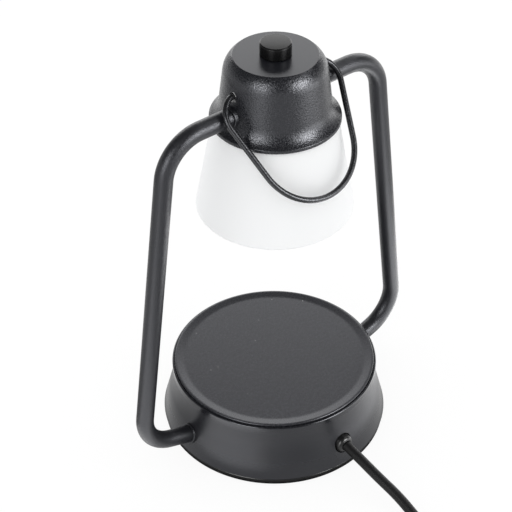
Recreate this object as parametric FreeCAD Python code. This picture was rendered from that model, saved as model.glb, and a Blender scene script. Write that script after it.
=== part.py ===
import FreeCAD, Part
import math
import os

# Candle warmer lamp: a round weighted base with a warming plate, two side tubes, a dimmable
# reflector lamp in a bell-shaped cap, a frosted glass shade and a swinging wire bail handle.
# Millimetres. Origin at the centre of the underside, +Z up, +X towards the right side tube.
# The mains lead leaves the base towards -Y, and the bail rests leaning towards -Y.

V = FreeCAD.Vector
X_AXIS = V(1, 0, 0)
Y_AXIS = V(0, 1, 0)
Z_AXIS = V(0, 0, 1)

# ---- Base: foot ring, cover, spun housing and warming plate ------------------------------
FOOT_R = 65.5
FOOT_TOP = 3.7
COVER_BOTTOM = 4.4
COVER_T = 1.6
COVER_TOP = COVER_BOTTOM + COVER_T
COVER_R = 62.6
SKIRT_R = 66.3
WAIST_R = 60.2
WAIST_Z = 27.5
WAIST_ROUNDING = 50.0
HOUSING_WALL = 2.4
HOUSING_BOTTOM = 4.3
HOUSING_TOP = 39.1
LIP_INNER_R = 59.1
DECK_T = 2.4
DECK_TOP = 37.6
DECK_HOLE_R = 40.0
DECK_BOTTOM = DECK_TOP - DECK_T
PLATE_R = 58.7
PLATE_TOP = 41.0
PLATE_SEAT = 40.3
PLATE_SLOPE_OUT_R = 56.6
PLATE_SLOPE_IN_R = 52.0
COVER_BOSS_R = 51.0
COVER_SCREW_ANGLES = (45.0, 135.0, 225.0, 315.0)
BALLAST_R = 45.0
BALLAST_BOTTOM = 25.0
PLATE_BOSS_R = 7.0
PLATE_BOSS_BOTTOM = 30.0
CLAMP_SCREWS = ((-7.0, -43.0), (7.0, -43.0), (0.0, -20.0))
CLAMP_TOP = 21.5
TERMINAL_TOP = 19.0

# ---- Side tubes ---------------------------------------------------------------------------
TUBE_R = 5.0
TUBE_BORE_R = 4.0
TUBE_HIGH_Z = 221.3
LEG_X_AT_FLOOR = 99.55
LEG_LEAN = 0.1336
LOW_BEND_R = 23.9
HIGH_BEND_R = 23.6
ENTRY_X = 62.0
ENTRY_Z = 15.2
ENTRY_RISE = math.radians(18.8)
TUBE_HOLE_R = 5.15
NIPPLE_R = 4.05
NIPPLE_BORE_R = 2.7
NIPPLE_HOLE_R = 4.2
SOCKET_R = 7.2
NUT_FLATS = 12.0
WASHER_R = 6.5
FERRULE_R = 5.9
FERRULE_BORE_R = 5.05

# Lower tube ends: distances inward from the entry point, along the sloping run.
BASE_TUBE_END = 3.6
BASE_SOCKET_FACE = 6.0
BASE_NUT_SEAT = 7.0
BASE_NUT_END = 9.6
BASE_NIPPLE = (-10.0, 10.5)
BASE_FERRULE = (-3.0, 3.0)

# Upper tube ends: distances from the lamp's own axis.
HEAD_TUBE_END = 25.5
HEAD_SOCKET_FACE = 23.5
HEAD_NUT_SEAT = 22.5
HEAD_NUT_END = 20.0
HEAD_NIPPLE = (19.5, 36.0)
HEAD_FERRULE = (27.0, 30.9)

# ---- Cap, lampholder carrier, shade and bulb ----------------------------------------------
FLANGE_R = 34.8
FLANGE_BOTTOM = 209.2
FLANGE_TOP = 211.2
CAP_TOP = 247.2
CAP_DISC_R = 22.2
CAP_WALL = 1.8
CAP_BOSS_R = 3.2
CAP_BOSS_CENTRE = 25.2
CARRIER_BOTTOM = 211.2
CARRIER_TOP = 212.8
CARRIER_R = 28.9
SLEEVE_R = 20.0
SLEEVE_BORE_R = 18.2
SLEEVE_BOTTOM = 201.5
HOLDER_FLANGE_R = 18.9
HOLDER_SCREWS = (-15.8, 15.8)
SHADE_TOP = 209.9
SHADE_BOTTOM = 153.8
SHADE_TOP_R = 32.9
SHADE_BOTTOM_R = 43.3
SHADE_WALL = 2.6
SHADE_NECK_R = 20.4
BULB_FACE = 212.6
BULB_NECK = 203.5
BULB_FRONT = 166.2
BULB_R = 25.0
HOLDER_TOP = 224.8
PIN_X = 5.0

# ---- Dimmer and knob ----------------------------------------------------------------------
BOARD_BOTTOM = 231.4
BOARD_TOP = 233.0
BOARD_R = 19.5
DIMMER_R = 11.0
DIMMER_TOP = CAP_TOP - CAP_WALL
BUSH_R = 3.5
BUSH_TOP = 250.2
SHAFT_R = 3.0
SHAFT_BOTTOM = 239.0
SHAFT_TOP = 253.2
KNOB_R = 8.05
KNOB_BOTTOM = 247.5
KNOB_TOP = 254.4

# ---- Bail handle --------------------------------------------------------------------------
PIVOT_Z = 232.9
WIRE_R = 1.6
PIVOT_HOLE_R = 1.68
BAIL_TILT = math.radians(41.0)
BAIL_INNER_END = 23.6
BAIL_NECK = (29.5, 0.0, 4.25)
BAIL_SHOULDER = (39.0, 5.2, 12.4)
BAIL_FOOT = (23.1, 66.5, 29.9)
PIVOT_SINK_R = 2.5

# ---- Mains lead, as it lies ---------------------------------------------------------------
CORD_R = 3.0
CORD_Z = 17.0
BUSHING_TIP = -65.9
BUSHING_R = 5.4
BUSHING_HOLE_R = 6.0
BUSHING_FLANGE_R = 8.4
CORD_ROUTE = (
    (0.0, BUSHING_TIP, CORD_Z),
    (0.0, -78.0, 15.4),
    (0.3, -93.0, 12.65),
    (1.3, -108.5, 9.7),
    (0.6, -124.0, 5.95),
    (-0.6, -138.8, 3.35),
    (-2.0, -153.4, 3.05),
)
COIL_CENTRE = (-45.6, -172.0)
COIL_OUTER_R = 43.6
COIL_INNER_R = 24.0
COIL_HEIGHT = 12.3
TAIL_ROUTE = (
    (-89.2, -156.0, 9.1),
    (-88.6, -146.5, 8.1),
    (-87.0, -137.6, 7.0),
)
PLUG_X = -87.0
PLUG_Z = 7.0
PLUG_REAR = -137.6
PLUG_SHOULDER = -119.6
PLUG_FACE = -89.6
PLUG_HALF_WIDTH = 11.0
BLADE_LENGTH = 17.0
BLADE_SPACING = 12.7


# ---- Drawing helpers ----------------------------------------------------------------------
def corner_arc(before, corner, after, radius):
    """Start, middle and end of the arc that rounds a corner between two straight runs."""
    back = (before - corner).normalize()
    ahead = (after - corner).normalize()
    half = back.getAngle(ahead) / 2.0
    reach = radius / math.tan(half)
    inward = (back + ahead).normalize()
    centre = corner + inward * (radius / math.sin(half))
    return corner + back * reach, centre - inward * radius, corner + ahead * reach


def rounded_edges(corners, closed):
    """Straight runs joined by tangent arcs; each corner is (point, radius)."""
    edges = []
    count = len(corners)
    last = corners[0][0]
    ends = range(count) if closed else range(1, count - 1)
    stops = []
    for index in ends:
        point, radius = corners[index]
        if radius <= 0.0:
            stops.append((point, None, point))
            continue
        before = corners[index - 1][0]
        after = corners[(index + 1) % count][0]
        stops.append(corner_arc(before, point, after, radius))
    if closed:
        last = stops[-1][2]
    else:
        stops.append((corners[-1][0], None, corners[-1][0]))
    for start, middle, end in stops:
        if last.distanceToPoint(start) > 1e-6:
            edges.append(Part.LineSegment(last, start).toShape())
        if middle is not None:
            edges.append(Part.Arc(start, middle, end).toShape())
        last = end
    return edges


def turned(*corners):
    """Solid of revolution about Z of a closed outline of (radius, z) or (radius, z, rounding)."""
    points = [(V(c[0], 0, c[1]), c[2] if len(c) > 2 else 0.0) for c in corners]
    face = Part.Face(Part.Wire(rounded_edges(points, True)))
    return face.revolve(V(0, 0, 0), Z_AXIS, 360)


def rod(radius, start, end):
    """Plain cylinder between two points."""
    axis = end - start
    return Part.makeCylinder(radius, axis.Length, start, axis)


def upright(radius, x, y, low, high):
    """Plain cylinder along Z."""
    return rod(radius, V(x, y, low), V(x, y, high))


def ring(outer, inner, low, high):
    """Flat ring about Z."""
    return upright(outer, 0, 0, low, high).cut(upright(inner, 0, 0, low - 1, high + 1))


def block(x_low, x_high, y_low, y_high, z_low, z_high):
    """Box given by its limits."""
    return Part.makeBox(x_high - x_low, y_high - y_low, z_high - z_low, V(x_low, y_low, z_low))


def hexagon(flats, bore, low, high):
    """Hexagon nut about Z."""
    reach = flats / math.sqrt(3.0)
    points = [V(reach * math.cos(math.radians(a)), reach * math.sin(math.radians(a)), low)
              for a in range(0, 361, 60)]
    prism = Part.Face(Part.makePolygon(points)).extrude(V(0, 0, high - low))
    return prism.cut(upright(bore, 0, 0, low - 1, high + 1))


def along_x(shape, z):
    """Turn a shape made about Z so that its axis is the +X line at height z."""
    placed = shape.copy()
    placed.rotate(V(0, 0, 0), Y_AXIS, 90)
    placed.translate(V(0, 0, z))
    return placed


def along_minus_y(shape, z):
    """Turn a shape made about Z so that its axis is the -Y line at height z."""
    placed = shape.copy()
    placed.rotate(V(0, 0, 0), X_AXIS, 90)
    placed.translate(V(0, 0, z))
    return placed


def both_sides(shape):
    """The shape and its mirror image on the -X side, as two separate solids."""
    return Part.makeCompound([shape, shape.mirror(V(0, 0, 0), X_AXIS)])


def around(shape, angles):
    """Copies of a shape turned about Z, as separate solids."""
    copies = []
    for angle in angles:
        copy = shape.copy()
        copy.rotate(V(0, 0, 0), Z_AXIS, angle)
        copies.append(copy)
    return Part.makeCompound(copies)


def swept(corners, radius):
    """Round bar swept along straight runs with tangent arcs; corners are (point, radius)."""
    path = Part.Wire(rounded_edges(corners, False))
    start = corners[0][0]
    heading = corners[1][0] - start
    section = Part.Wire(Part.makeCircle(radius, start, heading))
    return path, path.makePipeShell([section], True, False)


def cord_corners(route):
    """Route points with the bend radius that 0.45 of the shorter neighbouring run allows."""
    points = [V(*p) for p in route]
    corners = [(points[0], 0.0)]
    for before, point, after in zip(points, points[1:], points[2:]):
        run = min(point.distanceToPoint(before), after.distanceToPoint(point))
        turn = math.pi - (before - point).getAngle(after - point)
        corners.append((point, 0.45 * run / math.tan(turn / 2.0)))
    corners.append((points[-1], 0.0))
    return corners


def cord_tube(name, route, radius):
    """Plain cord tube; prints its bend radii and compares volume with section times length."""
    corners = cord_corners(route)
    path, tube = swept(corners, radius)
    radii = ", ".join("%.0f" % r for _, r in corners[1:-1])
    expected = math.pi * radius ** 2 * path.Length
    print("%s: length %.1f, bend radii %s, volume ratio %.4f"
          % (name, path.Length, radii, tube.Volume / expected))
    return tube


# ---- Base ---------------------------------------------------------------------------------
def housing_outside():
    """Outline of the spun housing: conical skirt, soft waist and rounded lip round the plate."""
    return ((SKIRT_R, HOUSING_BOTTOM, 0.4), (WAIST_R, WAIST_Z, WAIST_ROUNDING),
            (WAIST_R, HOUSING_TOP, 0.8))


def housing_envelope():
    """The housing's outer form as one filled solid, for trimming what seats against it."""
    return turned(*housing_outside(), (0.0, HOUSING_TOP), (0.0, HOUSING_BOTTOM))


def housing_inside():
    """Outline of the housing's cavity, from the deck down to the open bottom."""
    inner_r = WAIST_R - HOUSING_WALL
    return ((inner_r, DECK_BOTTOM, 0.8), (inner_r, WAIST_Z, WAIST_ROUNDING + HOUSING_WALL),
            (SKIRT_R - HOUSING_WALL, HOUSING_BOTTOM))


def base_housing():
    """Housing with deck ring, cover bosses, tube sockets and the lead's hole."""
    wall = turned(*housing_outside(), (LIP_INNER_R, HOUSING_TOP, 0.2), (LIP_INNER_R, DECK_TOP),
                  (DECK_HOLE_R, DECK_TOP), (DECK_HOLE_R, DECK_BOTTOM), *housing_inside())
    boss = upright(4.0, COVER_BOSS_R, 0, COVER_TOP, DECK_BOTTOM + 1)
    socket = along_entry(upright(SOCKET_R, 0, 0, -6, BASE_SOCKET_FACE))
    envelope = housing_envelope()
    solids = list(around(boss, COVER_SCREW_ANGLES).Solids)
    solids += [s.common(envelope) for s in both_sides(socket).Solids]
    body = wall.fuse(solids)
    pilot = upright(1.35, COVER_BOSS_R, 0, COVER_BOTTOM, COVER_TOP + 12)
    tube_hole = along_entry(upright(TUBE_HOLE_R, 0, 0, -12, BASE_TUBE_END))
    nipple_hole = along_entry(upright(NIPPLE_HOLE_R, 0, 0, 0, BASE_SOCKET_FACE + 2))
    lead_hole = along_minus_y(upright(BUSHING_HOLE_R, 0, 0, 50.0, 70.0), CORD_Z)
    holes = list(around(pilot, COVER_SCREW_ANGLES).Solids)
    holes += list(both_sides(tube_hole).Solids)
    holes += list(both_sides(nipple_hole).Solids)
    holes.append(lead_hole)
    return body.cut(holes).removeSplitter()


def warming_plate():
    """Dished plate that the candle jar stands on, with a spigot and a boss underneath."""
    dish = turned((0.0, DECK_BOTTOM),
                  (DECK_HOLE_R - 0.3, DECK_BOTTOM),
                  (DECK_HOLE_R - 0.3, DECK_TOP),
                  (PLATE_R, DECK_TOP, 0.3),
                  (PLATE_R, PLATE_TOP, 0.8),
                  (PLATE_SLOPE_OUT_R, PLATE_TOP, 3.0),
                  (PLATE_SLOPE_IN_R, PLATE_SEAT, 8.0),
                  (0.0, PLATE_SEAT))
    boss = upright(PLATE_BOSS_R, 0, 0, PLATE_BOSS_BOTTOM, DECK_BOTTOM + 0.5)
    return dish.fuse(boss).cut(upright(2.5, 0, 0, PLATE_BOSS_BOTTOM - 1, PLATE_SEAT - 1.6))


def ballast_weight():
    """Cast iron disc that keeps the lamp upright and clamps the plate to the deck."""
    disc = turned((0.0, BALLAST_BOTTOM), (BALLAST_R, BALLAST_BOTTOM, 1.0),
                  (BALLAST_R, DECK_BOTTOM, 1.0), (0.0, DECK_BOTTOM))
    seat = upright(PLATE_BOSS_R + 0.3, 0, 0, PLATE_BOSS_BOTTOM - 0.3, DECK_BOTTOM + 1)
    return disc.cut([seat, upright(3.3, 0, 0, BALLAST_BOTTOM - 1, DECK_BOTTOM)])


def plate_bolt():
    """Hexagon bolt through the ballast into the plate's boss."""
    head = hexagon(10.0, 0.5, BALLAST_BOTTOM - 4.0, BALLAST_BOTTOM)
    plug = upright(1.0, 0, 0, BALLAST_BOTTOM - 4.0, BALLAST_BOTTOM)
    return head.fuse([plug, upright(3.0, 0, 0, BALLAST_BOTTOM - 1.0, DECK_BOTTOM)]).removeSplitter()


def bottom_cover():
    """Steel disc that closes the base, with holes for its screws and the inner clamps."""
    disc = upright(COVER_R, 0, 0, COVER_BOTTOM, COVER_TOP)
    clearance = upright(1.7, COVER_BOSS_R, 0, COVER_BOTTOM - 1, COVER_TOP + 1)
    holes = list(around(clearance, COVER_SCREW_ANGLES).Solids)
    holes += [upright(1.35, x, y, COVER_BOTTOM - 1, COVER_TOP + 1) for x, y in CLAMP_SCREWS]
    return disc.cut(holes)


def foot_ring():
    """Moulded rubber ring under the edge of the cover, which the lamp stands on."""
    return turned((58.5, 0.0, 0.8), (FOOT_R, 0.0, 0.9), (FOOT_R, FOOT_TOP, 0.5),
                  (COVER_R, FOOT_TOP), (COVER_R, COVER_BOTTOM), (58.5, COVER_BOTTOM))


def pan_screw(x, y, seat, shank_end, upward):
    """Pan-head screw; the head sits below the seat when the shank goes upward."""
    sign = 1.0 if upward else -1.0
    head = rod(2.9, V(x, y, seat - sign * 1.9), V(x, y, seat))
    shank = rod(1.5, V(x, y, seat - sign * 0.5), V(x, y, shank_end))
    slot = block(x - 0.4, x + 0.4, y - 4, y + 4, -0.5, 0.5)
    slot.translate(V(0, 0, seat - sign * 1.9))
    return head.fuse(shank).cut(slot)


def cover_screws():
    """Four screws that hold the cover to the housing."""
    screw = pan_screw(COVER_BOSS_R, 0, COVER_BOTTOM, COVER_TOP + 10, True)
    return around(screw, COVER_SCREW_ANGLES)


def cord_clamp():
    """Saddle and strap that grip the lead inside the base."""
    cord = rod(CORD_R, V(0, -60, CORD_Z), V(0, -30, CORD_Z))
    saddle = block(-10, 10, -48, -38, COVER_TOP, CORD_Z - 0.4)
    strap = block(-10, 10, -47, -39, CORD_Z + 0.4, CLAMP_TOP)
    holes = [upright(1.6, x, y, COVER_TOP - 1, CLAMP_TOP + 1) for x, y in CLAMP_SCREWS[:2]]
    return Part.makeCompound([saddle.cut([cord] + holes), strap.cut([cord] + holes)])


def terminal_block():
    """Ceramic block where the lead's cores join the riser cable's."""
    body = block(-13, 13, -26, -14, COVER_TOP, TERMINAL_TOP)
    cuts = [upright(1.8, x, -20, CORD_Z - 6, TERMINAL_TOP + 1) for x in (-8.0, 8.0)]
    cuts.append(upright(1.6, 0, -20, COVER_TOP - 1, TERMINAL_TOP + 1))
    return body.cut(cuts)


def clamp_screws():
    """Screws of the cord clamp and the terminal block, down into the cover."""
    tops = (CLAMP_TOP, CLAMP_TOP, TERMINAL_TOP)
    return Part.makeCompound([pan_screw(x, y, top, COVER_BOTTOM + 0.1, False)
                              for (x, y), top in zip(CLAMP_SCREWS, tops)])


def cord_bushing():
    """Domed bushing that the lead leaves through, pushed out from inside the housing wall."""
    tip = -BUSHING_TIP
    bore = CORD_R + 0.05
    dome = turned((bore, 54.0), (BUSHING_R, 54.0), (BUSHING_R, tip - 0.6, 2.4), (bore, tip, 0.3))
    flange = along_minus_y(turned((BUSHING_R - 1, 54.0), (BUSHING_FLANGE_R, 54.0, 0.5),
                                  (BUSHING_FLANGE_R, 64.0), (BUSHING_R - 1, 64.0)), CORD_Z)
    cavity = turned(*housing_inside(), (0.0, HOUSING_BOTTOM), (0.0, DECK_BOTTOM))
    return along_minus_y(dome, CORD_Z).fuse(flange.common(cavity)).removeSplitter()


def cord_inner_end():
    """The lead's last stretch inside the base, through the clamp to the terminal block."""
    return rod(CORD_R, V(0, BUSHING_TIP, CORD_Z), V(0, -26, CORD_Z))


# ---- Side tubes ---------------------------------------------------------------------------
def inward(distance):
    """Point on the sloping lower run, a distance inward from where it enters the housing."""
    return V(ENTRY_X - distance * math.cos(ENTRY_RISE), 0, ENTRY_Z - distance * math.sin(ENTRY_RISE))


def along_entry(shape):
    """Lay a shape made about Z on the lower run, with +Z pointing inward from the entry."""
    placed = shape.copy()
    placed.rotate(V(0, 0, 0), Y_AXIS, -90.0 - math.degrees(ENTRY_RISE))
    placed.translate(inward(0.0))
    return placed


def along_head(shape):
    """Lay a shape made about Z on the upper run, with +Z pointing outward from the lamp's axis."""
    return along_x(shape, TUBE_HIGH_Z)


def low_corner():
    """Where the sloping lower run and the leaning leg would meet without their bend."""
    rise = math.tan(ENTRY_RISE)
    x = (LEG_X_AT_FLOOR - LEG_LEAN * (ENTRY_Z - rise * ENTRY_X)) / (1.0 + LEG_LEAN * rise)
    return V(x, 0, ENTRY_Z + rise * (x - ENTRY_X))


def high_corner():
    """Where the leaning leg and the level upper run would meet without their bend."""
    return V(LEG_X_AT_FLOOR - LEG_LEAN * TUBE_HIGH_Z, 0, TUBE_HIGH_Z)


def tube_corners(overrun):
    """Centre line of the right side tube, lengthened at both ends by the overrun."""
    return [(inward(BASE_TUBE_END + overrun), 0.0),
            (low_corner(), LOW_BEND_R),
            (high_corner(), HIGH_BEND_R),
            (V(HEAD_TUBE_END - overrun, 0, TUBE_HIGH_Z), 0.0)]


def right_tube():
    """Bent steel tube between base and cap, open at both ends."""
    outer = swept(tube_corners(0.0), TUBE_R)[1]
    bore = swept(tube_corners(1.0), TUBE_BORE_R)[1]
    return outer.cut(bore)


def left_tube():
    """Mirror image of the right tube."""
    return right_tube().mirror(V(0, 0, 0), X_AXIS)


def tube_nipple(low, high):
    """Hollow threaded nipple fixed in a tube end, made about Z."""
    return ring(NIPPLE_R, NIPPLE_BORE_R, low, high)


def tube_nut(low, high):
    """Thin hexagon nut for a nipple, made about Z with two flats level once it is laid down."""
    nut = hexagon(NUT_FLATS, NIPPLE_R, low, high)
    nut.rotate(V(0, 0, 0), Z_AXIS, 30)
    return nut


def tube_washer(low, high):
    """Washer between a nut and its socket, made about Z."""
    return ring(WASHER_R, NIPPLE_HOLE_R, low, high)


def ferrule_pair(low, high, laid, envelope):
    """Thin collars on the tubes, each seated against the outer form that the tube enters."""
    return both_sides(laid(ring(FERRULE_R, FERRULE_BORE_R, low, high)).cut(envelope))


def riser_cable():
    """Two-core cable from the terminal block through the right tube to the dimmer board."""
    drop = inward(17.0)
    corners = [(V(8.0, -14.0, 12.0), 0.0), (V(8.0, -3.0, 12.0), 5.0)]
    corners += [(V(22.0, 0.0, drop.z), 12.0), (drop, 20.0)]
    corners += tube_corners(0.0)[1:3]
    corners += [(V(17.0, 0, TUBE_HIGH_Z), 4.0), (V(17.0, 0, BOARD_BOTTOM), 0.0)]
    path, cable = swept(corners, 2.0)
    print("riser_cable: length %.1f, volume ratio %.4f"
          % (path.Length, cable.Volume / (math.pi * 4.0 * path.Length)))
    return cable


# ---- Cap ----------------------------------------------------------------------------------
CAP_SHOULDER = (26.68, 243.4, 14.0)
CAP_FLARE = (30.16, 215.1, 14.0)


def cap_outside():
    """Outline of the bell-shaped cap: lip, concave flare, tapered wall and crowned shoulder."""
    return ((FLANGE_R, FLANGE_BOTTOM, 0.5), (FLANGE_R, FLANGE_TOP, 0.6),
            CAP_FLARE, CAP_SHOULDER, (CAP_DISC_R, CAP_TOP))


def cap_envelope():
    """The cap's outer form as one filled solid, for trimming what seats against it."""
    return turned(*cap_outside(), (0.0, CAP_TOP), (0.0, FLANGE_BOTTOM))


def cap_shell():
    """Die-cast cap with inner bosses, tube sockets, bail holes and the dimmer's hole."""
    shoulder_r, shoulder_z, _ = CAP_SHOULDER
    flare_r, flare_z, _ = CAP_FLARE
    wall = turned(*cap_outside(),
                  (0.0, CAP_TOP), (0.0, CAP_TOP - CAP_WALL),
                  (CAP_DISC_R - 1.2, CAP_TOP - CAP_WALL, 2.0),
                  (shoulder_r - CAP_WALL - 0.2, shoulder_z - 1.0, 8.0),
                  (flare_r - CAP_WALL, flare_z + 0.4, 12.0),
                  (FLANGE_R - CAP_WALL, FLANGE_TOP + 0.5, 0.8),
                  (FLANGE_R - CAP_WALL, FLANGE_BOTTOM, 0.3))
    envelope = cap_envelope()
    socket = along_head(upright(SOCKET_R, 0, 0, HEAD_SOCKET_FACE, 32.0))
    floor = upright(40.0, 0, 0, CARRIER_TOP + 0.6, CAP_TOP)
    boss = upright(CAP_BOSS_R, CAP_BOSS_CENTRE, 0, CARRIER_TOP, CARRIER_TOP + 16)
    solids = [s.common(envelope).common(floor) for s in both_sides(socket).Solids]
    solids += [s.common(envelope) for s in around(boss, COVER_SCREW_ANGLES).Solids]
    body = wall.fuse(solids)
    pilot = upright(1.35, CAP_BOSS_CENTRE, 0, CARRIER_TOP - 1, CARRIER_TOP + 11)
    holes = list(around(pilot, COVER_SCREW_ANGLES).Solids)
    tube_hole = along_head(upright(TUBE_HOLE_R, 0, 0, HEAD_TUBE_END, 45.0))
    nipple_hole = along_head(upright(NIPPLE_HOLE_R, 0, 0, HEAD_SOCKET_FACE - 2, HEAD_TUBE_END + 2))
    holes += list(both_sides(tube_hole).Solids)
    holes += list(both_sides(nipple_hole).Solids)
    holes.append(rod(PIVOT_HOLE_R, V(-40, 0, PIVOT_Z), V(40, 0, PIVOT_Z)))
    sink = Part.makeCone(PIVOT_HOLE_R, PIVOT_SINK_R + 1.0, 1.6, V(27.2, 0, PIVOT_Z), X_AXIS)
    holes += list(both_sides(sink).Solids)
    holes.append(upright(BUSH_R + 0.1, 0, 0, CAP_TOP - 5, CAP_TOP + 5))
    return body.cut(holes).removeSplitter()


def lampholder_carrier():
    """Disc screwed inside the cap, with the threaded sleeve that the shade hangs on."""
    disc = turned((13.2, CARRIER_TOP), (13.2, CARRIER_BOTTOM), (SLEEVE_BORE_R, CARRIER_BOTTOM),
                  (SLEEVE_BORE_R, SLEEVE_BOTTOM), (SLEEVE_R, SLEEVE_BOTTOM),
                  (SLEEVE_R, CARRIER_BOTTOM), (CARRIER_R, CARRIER_BOTTOM), (CARRIER_R, CARRIER_TOP))
    sink = Part.makeCone(2.8, 1.5, 1.4, V(CAP_BOSS_CENTRE, 0, CARRIER_BOTTOM), Z_AXIS)
    through = upright(1.6, CAP_BOSS_CENTRE, 0, CARRIER_BOTTOM - 1, CARRIER_TOP + 1)
    holes = list(around(sink, COVER_SCREW_ANGLES).Solids)
    holes += list(around(through, COVER_SCREW_ANGLES).Solids)
    holes += [upright(1.35, 0, y, CARRIER_BOTTOM - 1, CARRIER_TOP + 1) for y in HOLDER_SCREWS]
    return disc.cut(holes)


def carrier_screws():
    """Four countersunk screws from below into the cap's bosses."""
    head = Part.makeCone(2.8, 1.5, 1.4, V(CAP_BOSS_CENTRE, 0, CARRIER_BOTTOM), Z_AXIS)
    shank = upright(1.5, CAP_BOSS_CENTRE, 0, CARRIER_BOTTOM, CARRIER_TOP + 10)
    socket = upright(0.9, CAP_BOSS_CENTRE, 0, CARRIER_BOTTOM - 1, CARRIER_BOTTOM + 1.2)
    return around(head.fuse(shank).cut(socket), COVER_SCREW_ANGLES)


def lampholder():
    """Ceramic twist-lock lampholder with two pin sockets and a mounting flange."""
    body = turned((0.0, CARRIER_TOP), (HOLDER_FLANGE_R, CARRIER_TOP, 0.3),
                  (HOLDER_FLANGE_R, CARRIER_TOP + 3.0, 0.5),
                  (14.4, CARRIER_TOP + 3.0), (14.4, HOLDER_TOP, 1.5), (0.0, HOLDER_TOP))
    cuts = [upright(2.9, side * PIN_X, 0, CARRIER_TOP - 1, CARRIER_TOP + 8.6) for side in (-1, 1)]
    cuts += [upright(1.6, 0, y, CARRIER_TOP - 1, CARRIER_TOP + 5) for y in HOLDER_SCREWS]
    cuts += [lampholder_notch(y) for y in HOLDER_SCREWS]
    return body.cut(cuts)


def lampholder_notch(y):
    """Room for a screw head beside the lampholder's body."""
    return upright(3.1, 0, y, CARRIER_TOP + 3.0, HOLDER_TOP + 1)


def lampholder_screws():
    """Two screws that hold the lampholder to the carrier."""
    return Part.makeCompound([pan_screw(0, y, CARRIER_TOP + 3.0, CARRIER_BOTTOM + 0.1, False)
                              for y in HOLDER_SCREWS])


def lampholder_leads():
    """Two insulated cores between the dimmer board and the lampholder."""
    return Part.makeCompound([upright(0.9, x, -6.0, HOLDER_TOP, BOARD_BOTTOM) for x in (-4.0, 4.0)])


# ---- Shade and bulb -----------------------------------------------------------------------
def shade():
    """Conical frosted glass shade, open below, with a neck ring turned in at the top."""
    return turned((SHADE_NECK_R, SHADE_TOP, 0.8), (SHADE_TOP_R, SHADE_TOP, 3.4),
                  (SHADE_BOTTOM_R, SHADE_BOTTOM, 1.2),
                  (SHADE_BOTTOM_R - SHADE_WALL, SHADE_BOTTOM, 1.2),
                  (SHADE_TOP_R - SHADE_WALL + 0.4, SHADE_TOP - SHADE_WALL, 2.0),
                  (SHADE_NECK_R, SHADE_TOP - SHADE_WALL, 0.8))


def shade_gasket():
    """Silicone washer between the glass and the carrier."""
    return ring(26.0, SLEEVE_R + 0.1, SHADE_TOP, CARRIER_BOTTOM)


def shade_ring():
    """Threaded ring nut that clamps the glass, with finger notches round its rim."""
    top = SHADE_TOP - SHADE_WALL
    nut = ring(26.0, SLEEVE_R - 0.2, top - 3.8, top)
    notch = upright(1.3, 26.4, 0, top - 5, top + 1)
    return nut.cut(list(around(notch, range(0, 360, 30)).Solids))


def bulb_base():
    """Ceramic neck of the reflector bulb."""
    return turned((0.0, BULB_NECK), (12.4, BULB_NECK, 0.5), (12.4, BULB_FACE - 2.5, 0.5),
                  (10.6, BULB_FACE, 0.8), (0.0, BULB_FACE))


def bulb_pins():
    """Two headed twist-lock pins of the bulb."""
    pins = []
    for side in (-1, 1):
        shank = upright(1.6, side * PIN_X, 0, BULB_FACE, BULB_FACE + 4.7)
        pins.append(shank.fuse(upright(2.5, side * PIN_X, 0, BULB_FACE + 4.6, BULB_FACE + 7.0)))
    return Part.makeCompound(pins)


def bulb_reflector():
    """Pressed glass reflector of the bulb, an open bowl with a rim."""
    return turned((0.0, BULB_NECK), (11.8, BULB_NECK, 0.8), (13.2, 199.0, 6.0), (22.6, 178.0, 20.0),
                  (BULB_R, 169.5, 3.0), (BULB_R, BULB_FRONT, 0.6), (23.4, BULB_FRONT),
                  (23.4, 169.8, 2.0), (20.9, 179.0, 16.0), (11.9, 199.5, 4.0),
                  (10.6, BULB_NECK - 1.6, 0.8), (0.0, BULB_NECK - 1.6))


def bulb_lens():
    """Front glass of the bulb, slightly crowned."""
    return turned((0.0, 166.9), (12.0, 167.1, 60.0), (23.3, 167.8), (23.3, 169.2), (0.0, 168.6))


def bulb_capsule():
    """Small halogen capsule at the reflector's focus."""
    return turned((0.0, 180.0), (4.6, 180.0, 3.5), (4.6, BULB_NECK - 1.6), (0.0, BULB_NECK - 1.6))


# ---- Dimmer and knob ----------------------------------------------------------------------
def dimmer_body():
    """Rotary dimmer with its threaded bushing through the top of the cap."""
    body = turned((0.0, BOARD_TOP), (DIMMER_R, BOARD_TOP, 0.6), (DIMMER_R, DIMMER_TOP, 0.8),
                  (BUSH_R, DIMMER_TOP), (BUSH_R, BUSH_TOP, 0.3), (0.0, BUSH_TOP))
    return body.cut(upright(SHAFT_R + 0.05, 0, 0, SHAFT_BOTTOM - 0.3, BUSH_TOP + 1))


def dimmer_nut():
    """Thin nut on the dimmer's bushing, hidden in the hollow of the knob."""
    return hexagon(10.0, BUSH_R, CAP_TOP, CAP_TOP + 2.1)


def dimmer_board():
    """Round circuit board under the dimmer."""
    return ring(BOARD_R, 0.8, BOARD_BOTTOM, BOARD_TOP)


def dimmer_choke():
    """Wound choke hanging from the board."""
    core = turned((1.6, 226.2, 0.8), (4.2, 226.2, 0.8), (4.2, BOARD_BOTTOM), (1.6, BOARD_BOTTOM))
    core.translate(V(0, 10.5, 0))
    return core


def dimmer_capacitor():
    """Boxed suppression capacitor hanging from the board."""
    return block(-6.0, 6.0, -15.5, -9.5, 226.2, BOARD_BOTTOM)


def dimmer_shaft():
    """Shaft that turns with the knob."""
    flat = block(SHAFT_R - 0.5, SHAFT_R + 1, -5, 5, BUSH_TOP + 0.1, SHAFT_TOP + 1)
    return upright(SHAFT_R, 0, 0, SHAFT_BOTTOM, SHAFT_TOP).cut(flat)


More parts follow.
